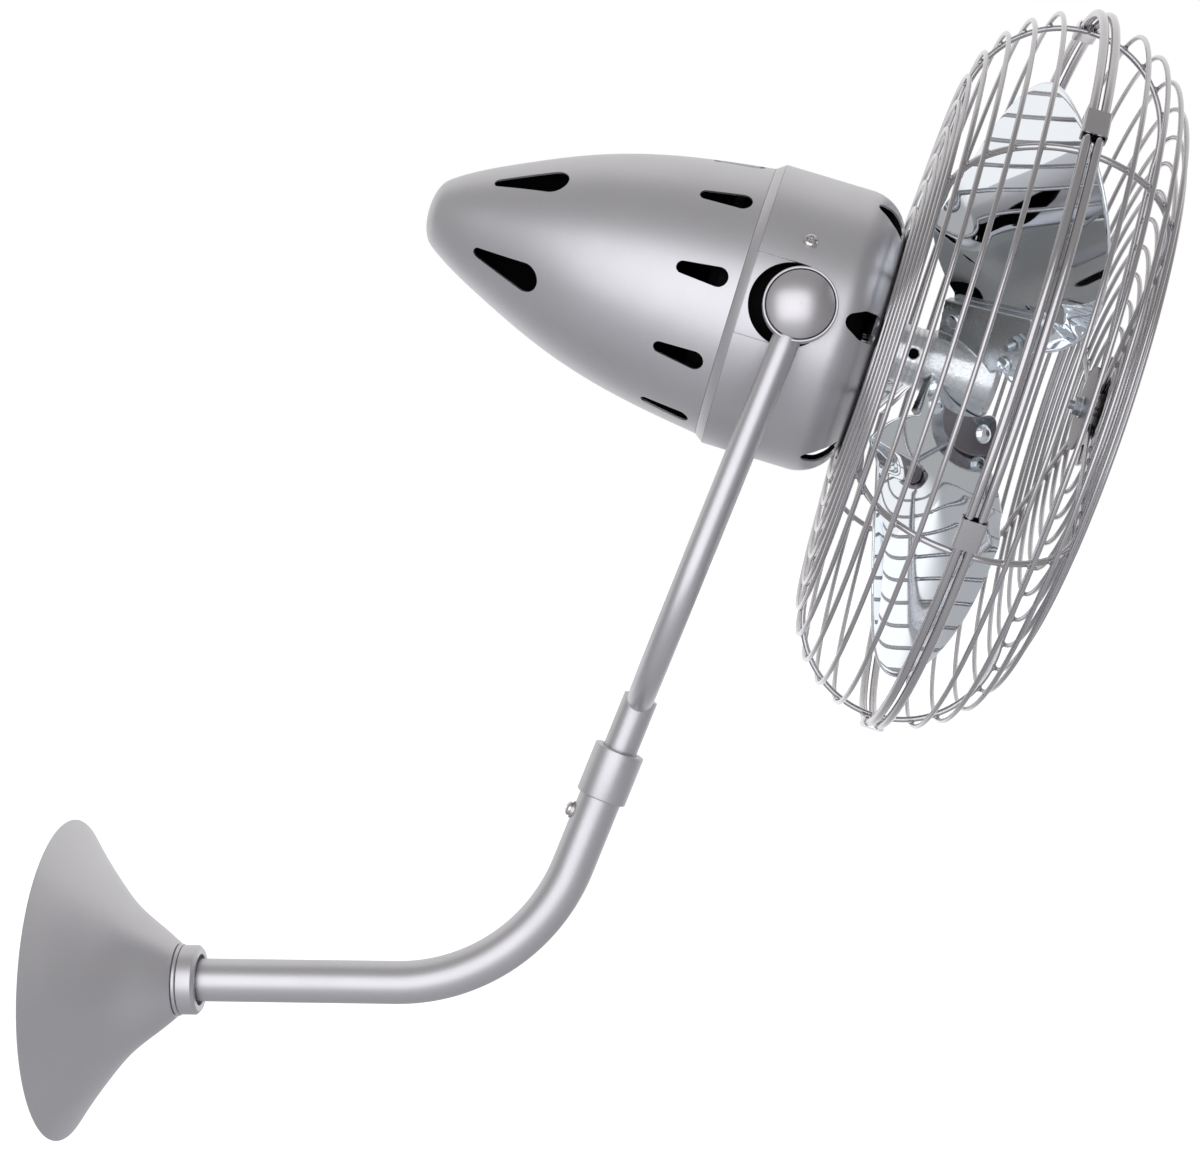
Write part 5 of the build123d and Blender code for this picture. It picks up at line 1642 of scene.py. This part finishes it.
@dataclass(frozen=True)
class Studio:
    """White backdrop, pale floor, soft lamps and the camera at the photograph's angle."""

    floor_height: float = -0.62
    floor_x: float = 0.3
    floor_radii: Floats = (0.0, 0.5, 1.0, 2.0, 4.0, 8.0, 16.0, 32.0)
    floor_sides: int = 96
    floor_colour: str = "#E1E2E5"
    floor_lift: float = 0.7
    # Where the white behind the object fades in: over the floor's y in metres, and over the
    # heading's y in the world. The rest of the world is grey, from its lowest to its highest point.
    floor_fade: Pair = (0.3, 2.5)
    wall_fade: Pair = (-0.08, 0.3)
    room_levels: Pair = (0.38, 0.48)
    matte_level: float = 0.5
    matte_share: float = 0.6
    frame_width_px: float = 1200.0
    focal_px: float = 2075.08
    sensor_mm: float = 36.0
    camera_place: tuple[float, float, float] = (0.34485, -1.06853, 0.25208)
    yaw: float = 3.427
    pitch: float = 2.07
    roll: float = -0.03
    lamps: tuple[Softbox, ...] = (
        Softbox("front_softbox", (0.0, -1.6, 0.34), (0.32, 0.0, 0.2), (2.2, 1.8), 19.0),
    )

    def build(self) -> None:
        """Adds everything that lights and shows the object."""
        bpy.context.scene.view_settings.view_transform = "Standard"
        self._world()
        self._floor()
        for lamp in self.lamps:
            lamp.build()
        self._camera()

    def _world(self) -> None:
        """White to the camera, and as a light white behind the object and grey elsewhere.

        Mirrors see that split as it is, and matt surfaces see it evened out towards one level.
        """
        world = bpy.data.worlds.new("studio")
        bpy.context.scene.world = world
        node = partial(add_node, empty_tree(world))
        rays = node("LightPath")
        heading = node("SeparateXYZ", {"Vector": node("TexCoord")["Generated"]})
        (start, end), (low, high) = self.wall_fade, self.room_levels
        fade = {"Value": heading["Y"], "From Min": start, "From Max": end}
        behind = node("MapRange", fade, interpolation_type="SMOOTHSTEP")["Result"]
        rise = {"Value": heading["Z"], "From Min": -1.0, "From Max": 1.0, "To Min": low, "To Max": high}
        room = {0: behind, 2: node("MapRange", rise)["Result"], 3: 1.0}
        level = node("Mix", room, data_type="FLOAT")[0]
        even = node("Math", {0: rays["Is Diffuse Ray"], 1: self.matte_share}, operation="MULTIPLY")[0]
        shaded = node("Mix", {0: even, 2: level, 3: self.matte_level}, data_type="FLOAT")[0]
        direct = {0: rays["Is Camera Ray"], 1: rays["Is Transmission Ray"]}
        seen = node("Math", direct, operation="MAXIMUM")[0]
        strength = node("Mix", {0: seen, 2: shaded, 3: 1.0}, data_type="FLOAT")[0]
        background = node("Background", {"Color": WHITE, "Strength": strength})
        node("OutputWorld", {"Surface": background[0]})

    def _floor(self) -> None:
        """A wide disc far below the object, its points at radius times (cos, sin) of each angle."""
        turn, radii = steps_round(self.floor_sides), np.array(self.floor_radii)[:, None]
        points = around(radii, turn, self.floor_height) + self.floor_x * X
        quads = grid_quads(len(radii), self.floor_sides, True, False)[:, ::-1]
        mesh = bpy.data.meshes.new("pale_floor")
        mesh.from_pydata(points.reshape(-1, 3).tolist(), [], quads.tolist())
        Workshop.close_up(mesh)
        mesh.materials.append(self._paper())
        new_object("pale_floor", mesh)

    def _paper(self) -> bpy.types.Material:
        """Pale matt paper, lifted to white for the camera, and behind the object for mirrors too."""
        material = bpy.data.materials.new("pale_paper")
        node = partial(add_node, empty_tree(material))
        rays = node("LightPath")
        paper = node("BsdfDiffuse", {"Color": linear(self.floor_colour)})[0]
        place = node("SeparateXYZ", {"Vector": node("TexCoord")["Object"]})
        start, end = self.floor_fade
        fade = {"Value": place["Y"], "From Min": start, "From Max": end}
        behind = node("MapRange", fade, interpolation_type="SMOOTHSTEP")["Result"]
        mirrored = node("Math", {0: rays["Is Glossy Ray"], 1: behind}, operation="MULTIPLY")[0]
        seen = node("Math", {0: rays["Is Camera Ray"], 1: mirrored}, operation="MAXIMUM")[0]
        lift = node("Math", {0: seen, 1: self.floor_lift}, operation="MULTIPLY")[0]
        glow = node("Emission", {"Color": WHITE, "Strength": lift})[0]
        node("OutputMaterial", {"Surface": node("AddShader", {0: paper, 1: glow})[0]})
        return material

    def _camera(self) -> None:
        """The photograph's camera: its lens from a focal length in the photograph's own pixels."""
        data = bpy.data.cameras.new("photo_camera")
        data.sensor_fit, data.sensor_width = "HORIZONTAL", self.sensor_mm
        data.lens = self.focal_px * self.sensor_mm / self.frame_width_px
        yaw, pitch, roll = (math.radians(a) for a in (self.yaw, self.pitch, self.roll))
        reach = math.cos(pitch)
        ahead = Vector((-math.sin(yaw) * reach, math.cos(yaw) * reach, -math.sin(pitch)))
        level = ahead.cross(Vector(Z)).normalized()
        upright = level.cross(ahead)
        right = level * math.cos(roll) + upright * math.sin(roll)
        up = upright * math.cos(roll) - level * math.sin(roll)
        turn = Matrix((right, up, -ahead)).transposed()
        camera = new_object("photo_camera", data)
        camera.matrix_world = Matrix.Translation(Vector(self.camera_place)) @ turn.to_4x4()
        bpy.context.scene.camera = camera


def main() -> None:
    """Loads the frame, builds each sub-assembly and the studio."""
    logging.basicConfig(level=logging.INFO, format="%(message)s")
    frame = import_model()
    joints = {joint["name"]: joint for joint in frame["joints"]}
    pivot = joints["swivel"]["pos_m"]
    spin_axis = joints["spin"]["axis"]
    near_side, far_side = (0.0, -1.0, 0.0), (0.0, 1.0, 0.0)
    wall_axes = Axes.along((0.0, 0.0, 0.0), near_side, (1.0, 0.0, 0.0))
    arm_axes = Axes.along(pivot, far_side, joints["swivel"]["axis"])
    head_axes = Axes.along(pivot, near_side, -np.array(spin_axis))
    shop = Workshop(frame["nodes"], math.atan2(spin_axis[2], -spin_axis[0]))
    WallSide(shop, wall_axes, arm_axes).build()
    Yoke(shop, arm_axes).build()
    Housing(shop, head_axes).build()
    Cage(shop, head_axes).build()
    Rotor(shop, head_axes).build()
    Studio().build()


if __name__ == "__main__":
    main()
